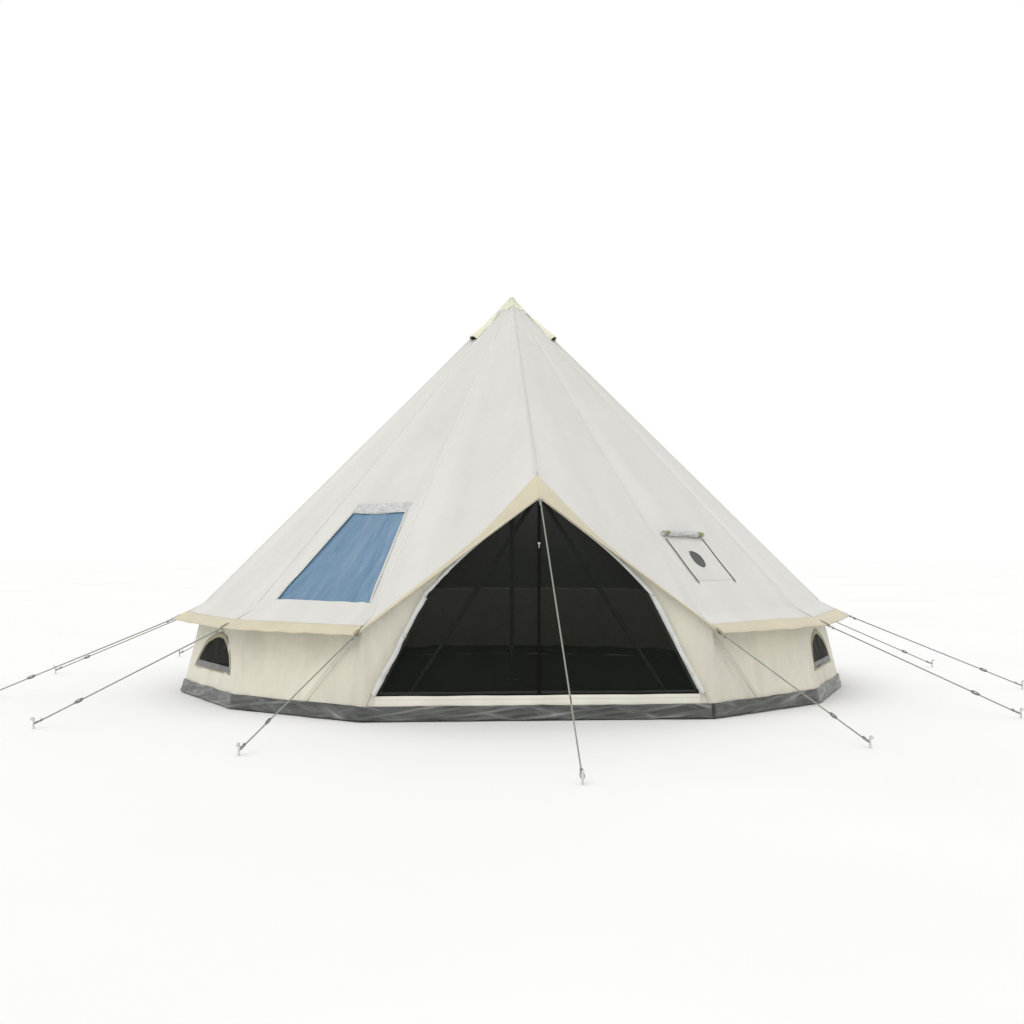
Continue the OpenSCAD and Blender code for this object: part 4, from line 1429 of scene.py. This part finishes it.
def make_sky():
    """The film of the sky window, the hems down its sides and the strip of flap above it."""
    (a, b, top), (c, d, bottom) = sky_corners()
    corners = (a - LAP, b + LAP, top - LAP), (c - LAP, d + LAP, bottom + LAP)
    v = np.linspace(0, 1, 110)[:, None]
    h = np.linspace(0, 1, 80)[None, :]
    u, r = bay_grid(corners, 110, 80)
    flow = u * 9 + 0.7 * noise(u * 3, r * 3, 2)
    streak = 0.0035 * noise(flow * 1.3, r * 1.6, 1) + 0.0022 * (ridged(flow * 3.1, r * 2.4, 4) - 0.6)
    streak = streak + 0.0012 * noise(u * 40, r * 7, 6)
    edge = np.clip(np.minimum(np.minimum(h, 1 - h), np.minimum(v, 1 - v)) * 9, 0, 1)
    points = on_bay(SKY_BAY, u, r, -0.0055 + streak * edge)
    pane = grid_piece("sky_pane", points, rippled_film, ["sky_window"])
    hems = []
    for p, q in (((a, top), (c, bottom)), ((b, top), (d, bottom))):
        p, q = np.array(p), np.array(q)
        run = unit(q - p)
        side = np.array([run[1], -run[0]])
        t = np.linspace(0, 1, 60)[:, None]
        rows = []
        for o, lift in ((-0.007, 0.002), (-0.005, 0.0075), (0.005, 0.0075), (0.007, 0.002)):
            spot = p + (q - p) * t + side * o
            rows.append(on_bay(SKY_BAY, spot[:, 0], spot[:, 1], lift))
        hems.append(np.stack(rows))
    hems = merge_strips("sky_hems", hems, roof_hem)
    hu, hr = bay_plan("sky_window_hem", SKY_BAY)
    left, right = hu.min(), hu.max()
    u, r = bay_grid(((left, right, hr.min()), (left, right, hr.max())), 14, 60)
    crinkle = 0.0045 * noise(u * 16, r * 30, 2) + 0.003 * (ridged(u * 30, r * 40, 3) - 0.6)
    points = on_bay(SKY_BAY, u, r, 0.006 + crinkle)
    points[-1] = on_bay(SKY_BAY, u[-1], r[-1], 0.002)
    roll = grid_piece("sky_flap", points, silver_cloth, ["sky_window_hem"])
    return pane, hems, roll


STOVE_BAY = 1


# Share of the cover's outline and lift of each of its rings
COVER_RINGS = (1.04, 0.006), (1.0, 0.0085), (0.93, 0.0090), (0.90, 0.0072), (0.5, 0.0074), (0.05, 0.0070)
COVER_SHIFT = 0.018
COVER_TURN = math.radians(-28)
FLAP_SIDES = 28
FLAP_STEPS = 90
ZIP_TURNS = 70


def make_stove_patch(left, right, top, bottom):
    u, r = bay_grid(((left, right, top), (left, right, bottom)), 50, 60)
    relief = 0.0022 * noise(u * 9, r * 9, 2) + 0.0012 * noise(u * 25, r * 22, 4)
    margin = np.minimum(np.minimum(u - left, right - u), np.minimum(r - top, bottom - r))
    points = on_bay(STOVE_BAY, u, r, 0.0015 + (0.003 + relief) * np.clip(margin * 40, 0, 1))
    return grid_piece("stove_cloth", points, roof_canvas, ["stove_patch"])


def make_stove_zips(left, right, top, bottom):
    """A zip down each side of the patch: its tape, and its coil on top."""
    zips = bmesh.new()
    for x in (left + 0.012, right - 0.012):
        r = np.linspace(top + 0.01, bottom + 0.02, 60)
        drift = 0.002 * noise(r * 12, 1.0, 2)
        rows = [on_bay(STOVE_BAY, x + drift + o, r, 0.0065 + lift)
                for o, lift in raised(0.0038, 0.002, 0, 0.0014)]
        add_grid(zips, np.stack(rows))
        a = np.linspace(0, ZIP_TURNS * 2 * math.pi, ZIP_TURNS * 5)
        r = np.linspace(top + 0.012, bottom + 0.015, len(a))
        drift = 0.002 * noise(r * 12, 1.0, 2)
        coil = on_bay(STOVE_BAY, x + drift + 0.0018 * np.cos(a), r, 0.0090 + 0.001 * np.sin(a))
        add_tube(zips, coil, 0.0009, 4)
    return piece("stove_zips", zips, zip_black, [])


def make_stove_cover():
    """The dark cover of the flue's opening: round, drawn out to a blunt point above."""
    cu, cr = bay_plan("stove_cover", STOVE_BAY)
    radius = (cu.max() - cu.min()) / 2
    x, y = (cu.min() + cu.max()) / 2 - COVER_SHIFT, cr.max() - (cu.max() - cu.min()) / 2
    a = np.linspace(0, 2 * math.pi, 73)[:-1]
    shape = radius * np.stack([np.cos(a), np.sin(a)], axis=1)
    pointed = np.maximum(0, -np.sin(a)) ** 1.6
    shape[:, 1] -= pointed * (y - cr.min() - radius)
    shape[:, 0] *= 1 - 0.35 * pointed
    cos, sin = math.cos(COVER_TURN), math.sin(COVER_TURN)
    shape = shape @ np.array([[cos, sin], [-sin, cos]])
    rows = [on_bay(STOVE_BAY, x + shape[:, 0] * f, y + shape[:, 1] * f, lift) for f, lift in COVER_RINGS]
    bm = bmesh.new()
    add_grid(bm, np.stack(rows), closed=True)
    bm.verts.ensure_lookup_table()
    bm.faces.new(bm.verts[len(bm.verts) - len(a):])
    piece("stove_drop", bm, dark_cover, ["stove_cover"])


def make_flap_roll():
    """The flap rolled up above the patch; returns the line along its middle."""
    fu, fr = bay_plan("stove_flap_roll", STOVE_BAY)
    t = np.linspace(0, 1, FLAP_STEPS)
    mid = (fr.min() + fr.max()) / 2
    core = on_bay(STOVE_BAY, lerp(fu.min(), fu.max(), t), mid + 0.004 * noise(t * 6, 1, 2), 0.021)
    core[:, 2] += 0.003 * noise(t * 8, 3, 3)
    pinch = np.exp(-((t[:, None] - [0.10, 0.90]) / 0.03) ** 2).sum(1)
    radius = 0.0175 + 0.003 * noise(t * 9, 2, 1) - 0.004 * pinch
    rings = tube(core, radius, FLAP_SIDES)
    a = np.arange(FLAP_SIDES) / FLAP_SIDES * 2 * math.pi
    fold = 0.0028 * np.sin(a * 4 + 9 * t[:, None]) + 0.004 * noise(a * 1.1 + 2, t[:, None] * 16, 4)
    centre = rings.mean(1, keepdims=True)
    rings = centre + (rings - centre) * (1 + fold[..., None] / 0.024)
    bm = bmesh.new()
    add_grid(bm, rings, closed=True)
    bm.verts.ensure_lookup_table()
    bm.faces.new(bm.verts[:FLAP_SIDES])
    bm.faces.new(bm.verts[len(bm.verts) - FLAP_SIDES:][::-1])
    piece("flap_roll", bm, silver_cloth, ["stove_flap_roll"])
    return core


def make_flap_tie(name, core, share):
    """A strap round the roll, with its knot in front."""
    i = int(share * (FLAP_STEPS - 1))
    d = unit(core[i + 1] - core[i - 1])
    b = np.linspace(-0.4 * math.pi, 1.6 * math.pi, 30)
    up = unit(np.cross(d, [0, -1, 0]))
    w = np.cross(d, up)
    loop = core[i] + 0.0180 * (np.cos(b)[:, None] * up + np.sin(b)[:, None] * w)
    bm = bmesh.new()
    add_grid(bm, np.stack([loop + d * o for o in (-0.012, -0.004, 0.004, 0.012)]))
    front = core[i] + (-w if w[1] > 0 else w) * 0.024
    knot = [front + d * 0.010 * math.cos(q) + np.array([0, 0, 0.008 * math.sin(q)]) for q in turns(15)]
    add_tube(bm, knot, 0.006, 8, caps=False)
    thicken(piece(name, bm, strap_olive, ["stove_flap_ties"]), 0.0018)


def make_stove():
    """Stove patch with its zips, the teardrop cover, and the flap rolled above with its ties."""
    su, sr = bay_plan("stove_patch", STOVE_BAY)
    sides = su.min(), su.max(), sr.min(), sr.max()
    patch, zips = make_stove_patch(*sides), make_stove_zips(*sides)
    make_stove_cover()
    core = make_flap_roll()
    make_flap_tie("flap_tie_left", core, 0.07)
    make_flap_tie("flap_tie_right", core, 0.93)
    return patch, zips


# Share of the cap's reach and lift of each of its rings
CAP_RINGS = (
    (0.04, 0.011), (0.12, 0.010), (0.3, 0.0075), (0.5, 0.0065), (0.7, 0.006), (0.85, 0.0058),
    (0.96, 0.0065), (1.0, 0.004), (1.01, 0.0015),
)


def make_cap():
    """The reinforcing cap at the peak: a pleated cone of band cloth with a stitched hem."""
    reach = high("apex_cap").x
    a = np.linspace(0, 2 * math.pi, 113)[:-1]
    rows = []
    for f, lift in CAP_RINGS:
        r = reach * f * (1 + 0.012 * np.cos(a * SIDES))
        pts = []
        for ang, rad in zip(a, r):
            k = int(math.floor(ang / STEP)) % SIDES
            k = k - SIDES if k == SIDES - 1 else k
            t = ang / STEP - math.floor(ang / STEP)
            pts.append(roof_points(k, t, rad / EAVE_R, lift))
        rows.append(np.array(pts))
    grid = np.stack(rows)
    bm = bmesh.new()
    add_grid(bm, grid, strip_uv(grid), closed=True)
    bm.verts.ensure_lookup_table()
    top = bm.verts.new(grid[0].mean(0) + np.array([0, 0, 0.004]))
    bm.verts.ensure_lookup_table()
    for i in range(len(a)):
        bm.faces.new((top, bm.verts[(i + 1) % len(a)], bm.verts[i]))
    bmesh.ops.recalc_face_normals(bm, faces=bm.faces)
    return piece("peak_cap", bm, cap_cloth, ["apex_cap"])


VENT_BAYS = (-5, -3, 2, 4)
VENT_MOUTH, VENT_PEAK = 0.345, 0.128  # plan radius of a vent's mouth and of its upper end
VENT_HALF, VENT_RISE = 0.052, 0.040
VENT_NARROW = 0.55  # the upper end's width as a share of the mouth's
VENT_ARCH = 3.2  # the power of the mouth's curve


LIP_ROWS = (-0.016, 0.001), (-0.002, 0.0025), (0.002, 0.001), (0.001, -0.004)
VENT_SEAM_ROWS = (-0.010, 0.0045), (0, 0.0065), (0.010, 0.0025)


def vent_parts(k):
    """One vent's hood, the strips along its mouth and its two sides, and its net."""
    arch = np.linspace(-1, 1, 17)
    dome = 1 - np.abs(arch) ** VENT_ARCH
    r = np.linspace(VENT_PEAK, VENT_MOUTH, 24)
    grow = ((r - VENT_PEAK) / (VENT_MOUTH - VENT_PEAK)) ** 0.9
    hood = []
    for radius, part in zip(r, grow):
        u = arch * VENT_HALF * lerp(VENT_NARROW, 1, part)
        lift = 0.003 + VENT_RISE * part * dome + 0.0012 * noise(u * 60, radius * 30, 3)
        hood.append(on_bay(k, u, np.full_like(u, radius), lift))
    mouth = np.full_like(arch, VENT_MOUTH)
    edges = [np.stack([
        on_bay(k, arch * VENT_HALF, mouth + o, 0.003 + (VENT_RISE + lift) * dome) for o, lift in LIP_ROWS
    ])]
    for side in (-1, 1):
        u = side * VENT_HALF * lerp(VENT_NARROW, 1, grow)
        edges.append(np.stack([on_bay(k, u + o, r, lift) for o, lift in VENT_SEAM_ROWS]))
    net = [
        on_bay(k, arch * VENT_HALF * 0.97, mouth - 0.006, 0.003 + f * (VENT_RISE - 0.004) * dome)
        for f in np.linspace(0, 1, 9)
    ]
    return np.stack(hood), edges, np.stack(net)


def make_vents():
    """Four mesh-mouthed vents: a canvas hood each, edged with band strips."""
    hoods, nets, edges = bmesh.new(), bmesh.new(), []
    for k in VENT_BAYS:
        hood, strips, net = vent_parts(k)
        add_grid(hoods, hood)
        add_grid(nets, net)
        edges += strips
    return (
        piece("vent_cloth", hoods, cap_cloth, ["vent_hoods"]),
        piece("vent_nets", nets, insect_mesh, ["vent_meshes"]),
        merge_strips("vent_edges", edges, cap_cloth),
    )


roof_hem = stitched("roof_hem", shade(CANVAS, 0.98), shade(CANVAS, 0.8), (0.003, 0.011))
cap_cloth = stitched("cap_cloth", (0.78, 0.755, 0.60), (0.62, 0.59, 0.45), (0.085, 0.095))
strap_olive = woven("strap_olive", (0.30, 0.31, 0.13), WEB_PITCH, bump=0.6)
# The film's ripples run from its deep to its pale colour, and its glint colour marks painted glints:
# painted reflection.
rippled_film = film("rippled_film", (0.064, 0.168, 0.290), (0.120, 0.250, 0.378), (0.58, 0.66, 0.72))
sky_pane, sky_hems, sky_flap = make_sky()
stove_cloth, stove_zips = make_stove()
peak_cap = make_cap()
vent_cloth, vent_nets, vent_edges = make_vents()


# Wall windows


NET_RINGS = 0.02, 0.3, 0.6, 0.8, 0.93, 1.02
BINDING_ROWS = (0.0, 0.0005), (0.06, 0.0040), (0.5, 0.0048), (0.94, 0.0040), (1.0, 0.0005)
FLAP_ROWS = (0.0, 0.002), (0.012, 0.0055), (0.030, 0.0060), (0.040, 0.002)
ARCH_STEPS = 48


def window_net(k):
    """A window's net as rings round its middle, with their UVs."""
    outline = half_moon(WINDOW_W, WINDOW_TALL, ARCH_STEPS)
    middle = np.array([0, WINDOW_TALL * 0.35])
    uv = np.stack([middle + (outline - middle) * f for f in NET_RINGS])
    sag = -0.004 + 0.003 * noise(uv[..., 0] * 8, uv[..., 1] * 8 + k, 2)
    return on_wall(k, uv[..., 0], WINDOW_LOW + uv[..., 1], sag), uv


def window_binding(k):
    inner = half_moon(WINDOW_W - 0.006, WINDOW_TALL - 0.006, ARCH_STEPS) + [0, 0.003]
    outer = half_moon(WINDOW_W + 0.044, WINDOW_TALL + 0.044, ARCH_STEPS) + [0, -0.010]
    rows = []
    for f, lift in BINDING_ROWS:
        spot = lerp(inner, outer, f)
        spot = np.concatenate([spot, spot[:1]])
        rows.append(on_wall(k, spot[:, 0], WINDOW_LOW + spot[:, 1], lift))
    return np.stack(rows)


def window_flap_roll(k):
    u = np.linspace(-WINDOW_W / 2 + 0.01, WINDOW_W / 2 - 0.01, 40)
    return np.stack([
        on_wall(k, u, np.full_like(u, WINDOW_LOW + z), lift + 0.002 * noise(u * 9, z * 20, 3))
        for z, lift in FLAP_ROWS
    ])


def make_windows():
    """The half-moon windows: their nets, bindings and rolled flaps, each as one piece."""
    nets, flaps = bmesh.new(), bmesh.new()
    for k in WINDOW_SIDES:
        add_grid(nets, *window_net(k), closed=True)
        add_grid(flaps, window_flap_roll(k))
    bindings = [window_binding(k) for k in WINDOW_SIDES]
    return (
        piece("window_nets", nets, insect_mesh, ["window_meshes"]),
        merge_strips("window_bands", bindings, binding_cloth, ["window_bindings"]),
        piece("window_flap_rolls", flaps, window_flap, []),
    )


binding_cloth = stitched("binding_cloth", (0.36, 0.33, 0.21), (0.55, 0.52, 0.38), (0.004, 0.018))
window_nets, window_bands, window_flaps = make_windows()


# Hardware: eyelets, tabs, runners and peg hooks

GUY_R = high("pegs").y - 0.006
FRONT_PEG_Y = low("pegs").y + 0.006
PEG_TOP = high("pegs").z
GUY_CORNERS = range(1, SIDES)


def torus(bm, centre, axis, radius, thick, steps=20, sides=8):
    """A ring of wire round an axis."""
    axis = unit(np.asarray(axis, float))
    u = unit(np.cross(axis, [0.31, 0.17, 0.93]))
    w = np.cross(axis, u)
    a = np.linspace(0, 2 * math.pi, steps, endpoint=False)
    ring = centre + radius * (np.cos(a)[:, None] * u + np.sin(a)[:, None] * w)
    out = unit(ring - centre)
    b = np.linspace(0, 2 * math.pi, sides, endpoint=False)
    grid = ring[None] + thick * (np.cos(b)[:, None, None] * out[None] + np.sin(b)[:, None, None] * axis)
    add_grid(bm, np.concatenate([grid, grid[:1]])[::-1], closed=True)


def guy_ends():
    """Upper and lower end of every guy line."""
    ends = [(np.array([0, -HOOD_Y - 0.01, TIP[2] - 0.004]), np.array([0, FRONT_PEG_Y, 0.03]))]
    for k in GUY_CORNERS:
        ends.append((corner(BRIM_R + 0.008, k, BRIM_Z - 0.001), corner(GUY_R, k, 0.03)))
    return ends


def add_corner(rings, tabs, k):
    """The ring at a corner of the brim, and the webbing tab that is folded through it."""
    out = unit(corner(1, k, 0))
    slope = unit(corner(BRIM_R, k, BRIM_Z) - corner(EAVE_R, k, WALL_H))
    side = np.array([math.cos(k * STEP), math.sin(k * STEP), 0])
    edge = corner(BRIM_R, k, BRIM_Z) + np.array([0, 0, LAY])
    torus(rings, edge + out * 0.010 - [0, 0, 0.006], side + 0.2 * out, 0.011, 0.0018)
    up = np.cross(side, slope)
    up = up if up[2] > 0 else -up
    rows = []
    for o in (-0.0125, -0.005, 0.005, 0.0125):
        path = [edge - slope * q + side * o + up * height for q, height in TAB_TOP]
        rows.append(path + [edge + slope * q + side * o + up * height for q, height in TAB_UNDER])
    add_grid(tabs, np.array(rows))


def add_runner(runners, foot, run, up, length):
    """The sliding tensioner on a guy line: a flat loop with two bars across it."""
    spot = foot - run * (0.30 if length < SHORT_LINE else 0.55)
    a = turns(25)
    loop = spot + 0.030 * np.cos(a)[:, None] * run + 0.0085 * np.sin(a)[:, None] * up
    add_tube(runners, loop, 0.0026, 8, caps=False)
    for q in (-0.013, 0.013):
        bar = [spot + run * q + up * v for v in np.linspace(-0.0095, 0.0095, 5)]
        add_tube(runners, bar, 0.0024, 8)


def add_knots(knots, top, foot, run, side, up):
    """Two turns of cord near each end of a guy line, and the loop round its peg."""
    for place, size in ((top + run * 0.028, 0.0062), (foot - run * 0.05, 0.0060)):
        a = np.linspace(0, 4 * math.pi, 34)
        twist = place + run * (a / (4 * math.pi) - 0.5)[:, None] * 0.020
        twist = twist + size * (np.cos(a)[:, None] * side + np.sin(a)[:, None] * up)
        add_tube(knots, twist, KNOT_CORD, 7)
    a = turns(21)
    loop = foot - run * 0.020 + 0.022 * np.cos(a)[:, None] * run + 0.010 * np.sin(a)[:, None] * side
    add_tube(knots, loop, KNOT_CORD, 7, caps=False)


def add_peg_hook(hooks, foot, run):
    """The bent head of a peg, open away from the tent."""
    flat_out = unit(np.array([run[0], run[1], 0]))
    head = np.array([foot[0], foot[1], PEG_TOP - 0.004])
    bend = [
        head + flat_out * HOOK_R * (1 - math.cos(b)) + np.array([0, 0, HOOK_R * math.sin(b)])
        for b in np.linspace(0, math.pi * 1.15, 14)
    ]
    add_tube(hooks, [head + [0, 0, -0.02]] + bend, 0.0058, 10)


# How far along the brim's slope and how far above it the corner tab runs, over and under
TAB_TOP = (0.062, 0.0055), (0.058, 0.0055), (0.03, 0.0075), (0.004, 0.0075)
TAB_UNDER = (0.008, 0.002), (0.004, -0.006), (-0.03, -0.007)
SHORT_LINE = 2.0
KNOT_CORD = 0.0030
HOOK_R = 0.009
EYELET_DROP = 0.160


def make_hardware():
    """Rings and tabs at the brim's corners, and each guy line's runner, knots and peg hook."""
    rings, tabs, runners, knots, hooks = (bmesh.new() for _ in range(5))
    for k in GUY_CORNERS:
        add_corner(rings, tabs, k)
    torus(rings, TIP + [0, -0.006, -0.004], [1, 0.1, 0], 0.012, 0.0020)
    eyelet = roof_points(0, 0.0, 1 - EYELET_DROP / (APEX[2] - TIP[2]), 0.004)
    torus(rings, eyelet, [0, -0.58, 0.81], 0.0075, 0.0022)
    hook = [
        TIP + [0, 0.012 * math.sin(a) - 0.002, -0.030 - 0.012 * math.cos(a)]
        for a in np.linspace(-2.6, 1.6, 18)
    ]
    add_tube(hooks, hook, 0.0022, 8)
    for top, foot in guy_ends():
        run = unit(foot - top)
        side = unit(np.cross(run, [0, 0, 1]))
        up = np.cross(side, run)
        add_runner(runners, foot, run, up, np.linalg.norm(foot - top))
        add_knots(knots, top, foot, run, side, up)
        add_peg_hook(hooks, foot, run)
    for name, bm, material, slot in (
        ("corner_rings", rings, bright_metal, "steel_tube"), ("corner_tabs", tabs, tab_web, "strap"),
        ("guy_runners", runners, runner_plastic, "zip"), ("guy_knots", knots, guy_cord, "guy_rope"),
        ("peg_hooks", hooks, steel_tube, "steel_tube"),
    ):
        piece(name, bm, material, [])


def material_on(material, *nodes):
    """Gives CAD nodes whose shape stays a better material."""
    for node in nodes:
        for slot in bpy.data.objects[node].material_slots:
            slot.material = material


tab_web = woven("tab_web", (0.30, 0.27, 0.16), WEB_PITCH, bump=0.6)
runner_plastic = moulded("runner_plastic", (0.035, 0.035, 0.035), 0.4)
make_hardware()
material_on(steel_tube, "door_frame", "centre_pole", "pegs")
material_on(guy_cord, "front_guy_line", "guy_lines")

# Flat sizes of the cloth: the cuts follow from the panels' corner points


def outline_area(*points):
    """Area of a flat outline in space."""
    points = np.array(points, float)
    fan = np.cross(points[1:-1] - points[0], points[2:] - points[0])
    return float(np.linalg.norm(fan.sum(0)) / 2)


EAVE_MIDDLE = lerp(corner(EAVE_R, 0, WALL_H), corner(EAVE_R, 1, WALL_H), 0.5)
SLOPE_LENGTH = float(np.linalg.norm(EAVE_MIDDLE - APEX))
FULL_BAYS = SIDES - 2


DOWN = SLOPE_LENGTH / EAVE_MID  # length down the roof for a metre out in plan
AT_FRONT = -FRONT_Y


def bay_area(outline):
    return outline_area(*[on_bay(SKY_BAY, u, r) for u, r in outline])


def declare_roof():
    gore = outline_area(APEX, corner(EAVE_R, 1, WALL_H), corner(EAVE_R, 2, WALL_H))
    brim = outline_area(
        corner(EAVE_R, 1, WALL_H), corner(BRIM_R, 1, BRIM_Z),
        corner(BRIM_R, 2, BRIM_Z), corner(EAVE_R, 2, WALL_H),
    )
    hood = outline_area(APEX, TIP, FOLD_CORNER) + outline_area(TIP, BRIM_CORNER, FOLD_CORNER)
    cut = FULL_BAYS * (gore + brim) + 2 * hood - bay_area(sky_outline())


def declare_fronts():
    """A front cloth is its panel and the gusset round the corner, cut in one."""
    foot = lerp(corner(WALL_FOOT_R, 1, RIM_H), corner(WALL_FOOT_R, 2, RIM_H), SEAM_SHARE)
    door_side = [(0, RIDGE_Z), (0, DOOR_TOP), (KNEE_X, KNEE_Z), (DOOR_W / 2, SILL_Z)]
    panel = [(DOOR_W / 2, RIM_H), (FRONT_X, RIM_H), FRONT_TOP[[0, 2]], CREASE[[0, 2]], *door_side]
    area = outline_area(*[(x, AT_FRONT, z) for x, z in panel])
    area += outline_area(FRONT_TOP, (FRONT_X, AT_FRONT, RIM_H), foot, FOLD_CORNER)


def declare_openings():
    """Sky window and stove patch."""
    (a, b, top), (c, d, bottom) = sky_corners()
    lapped = bay_area([
        (a - LAP, top - LAP), (b + LAP, top - LAP), (d + LAP, bottom + LAP), (c - LAP, bottom + LAP),
    ])
    patch = node_size("stove_patch", STOVE_BAY)


def node_size(node, k):
    """A patch's width and its length down the slope, from its CAD node."""
    u, r = bay_plan(node, k)
    return float(np.ptp(u)), float(np.ptp(r)) * DOWN


def declare_cloth():
    """Works out the flat size each sheet of cloth was cut to, from its panels' corners; nothing is done
    with the sizes.
    """
    declare_roof()
    declare_fronts()
    declare_openings()
    node_size("sky_window_hem", SKY_BAY)


declare_cloth()
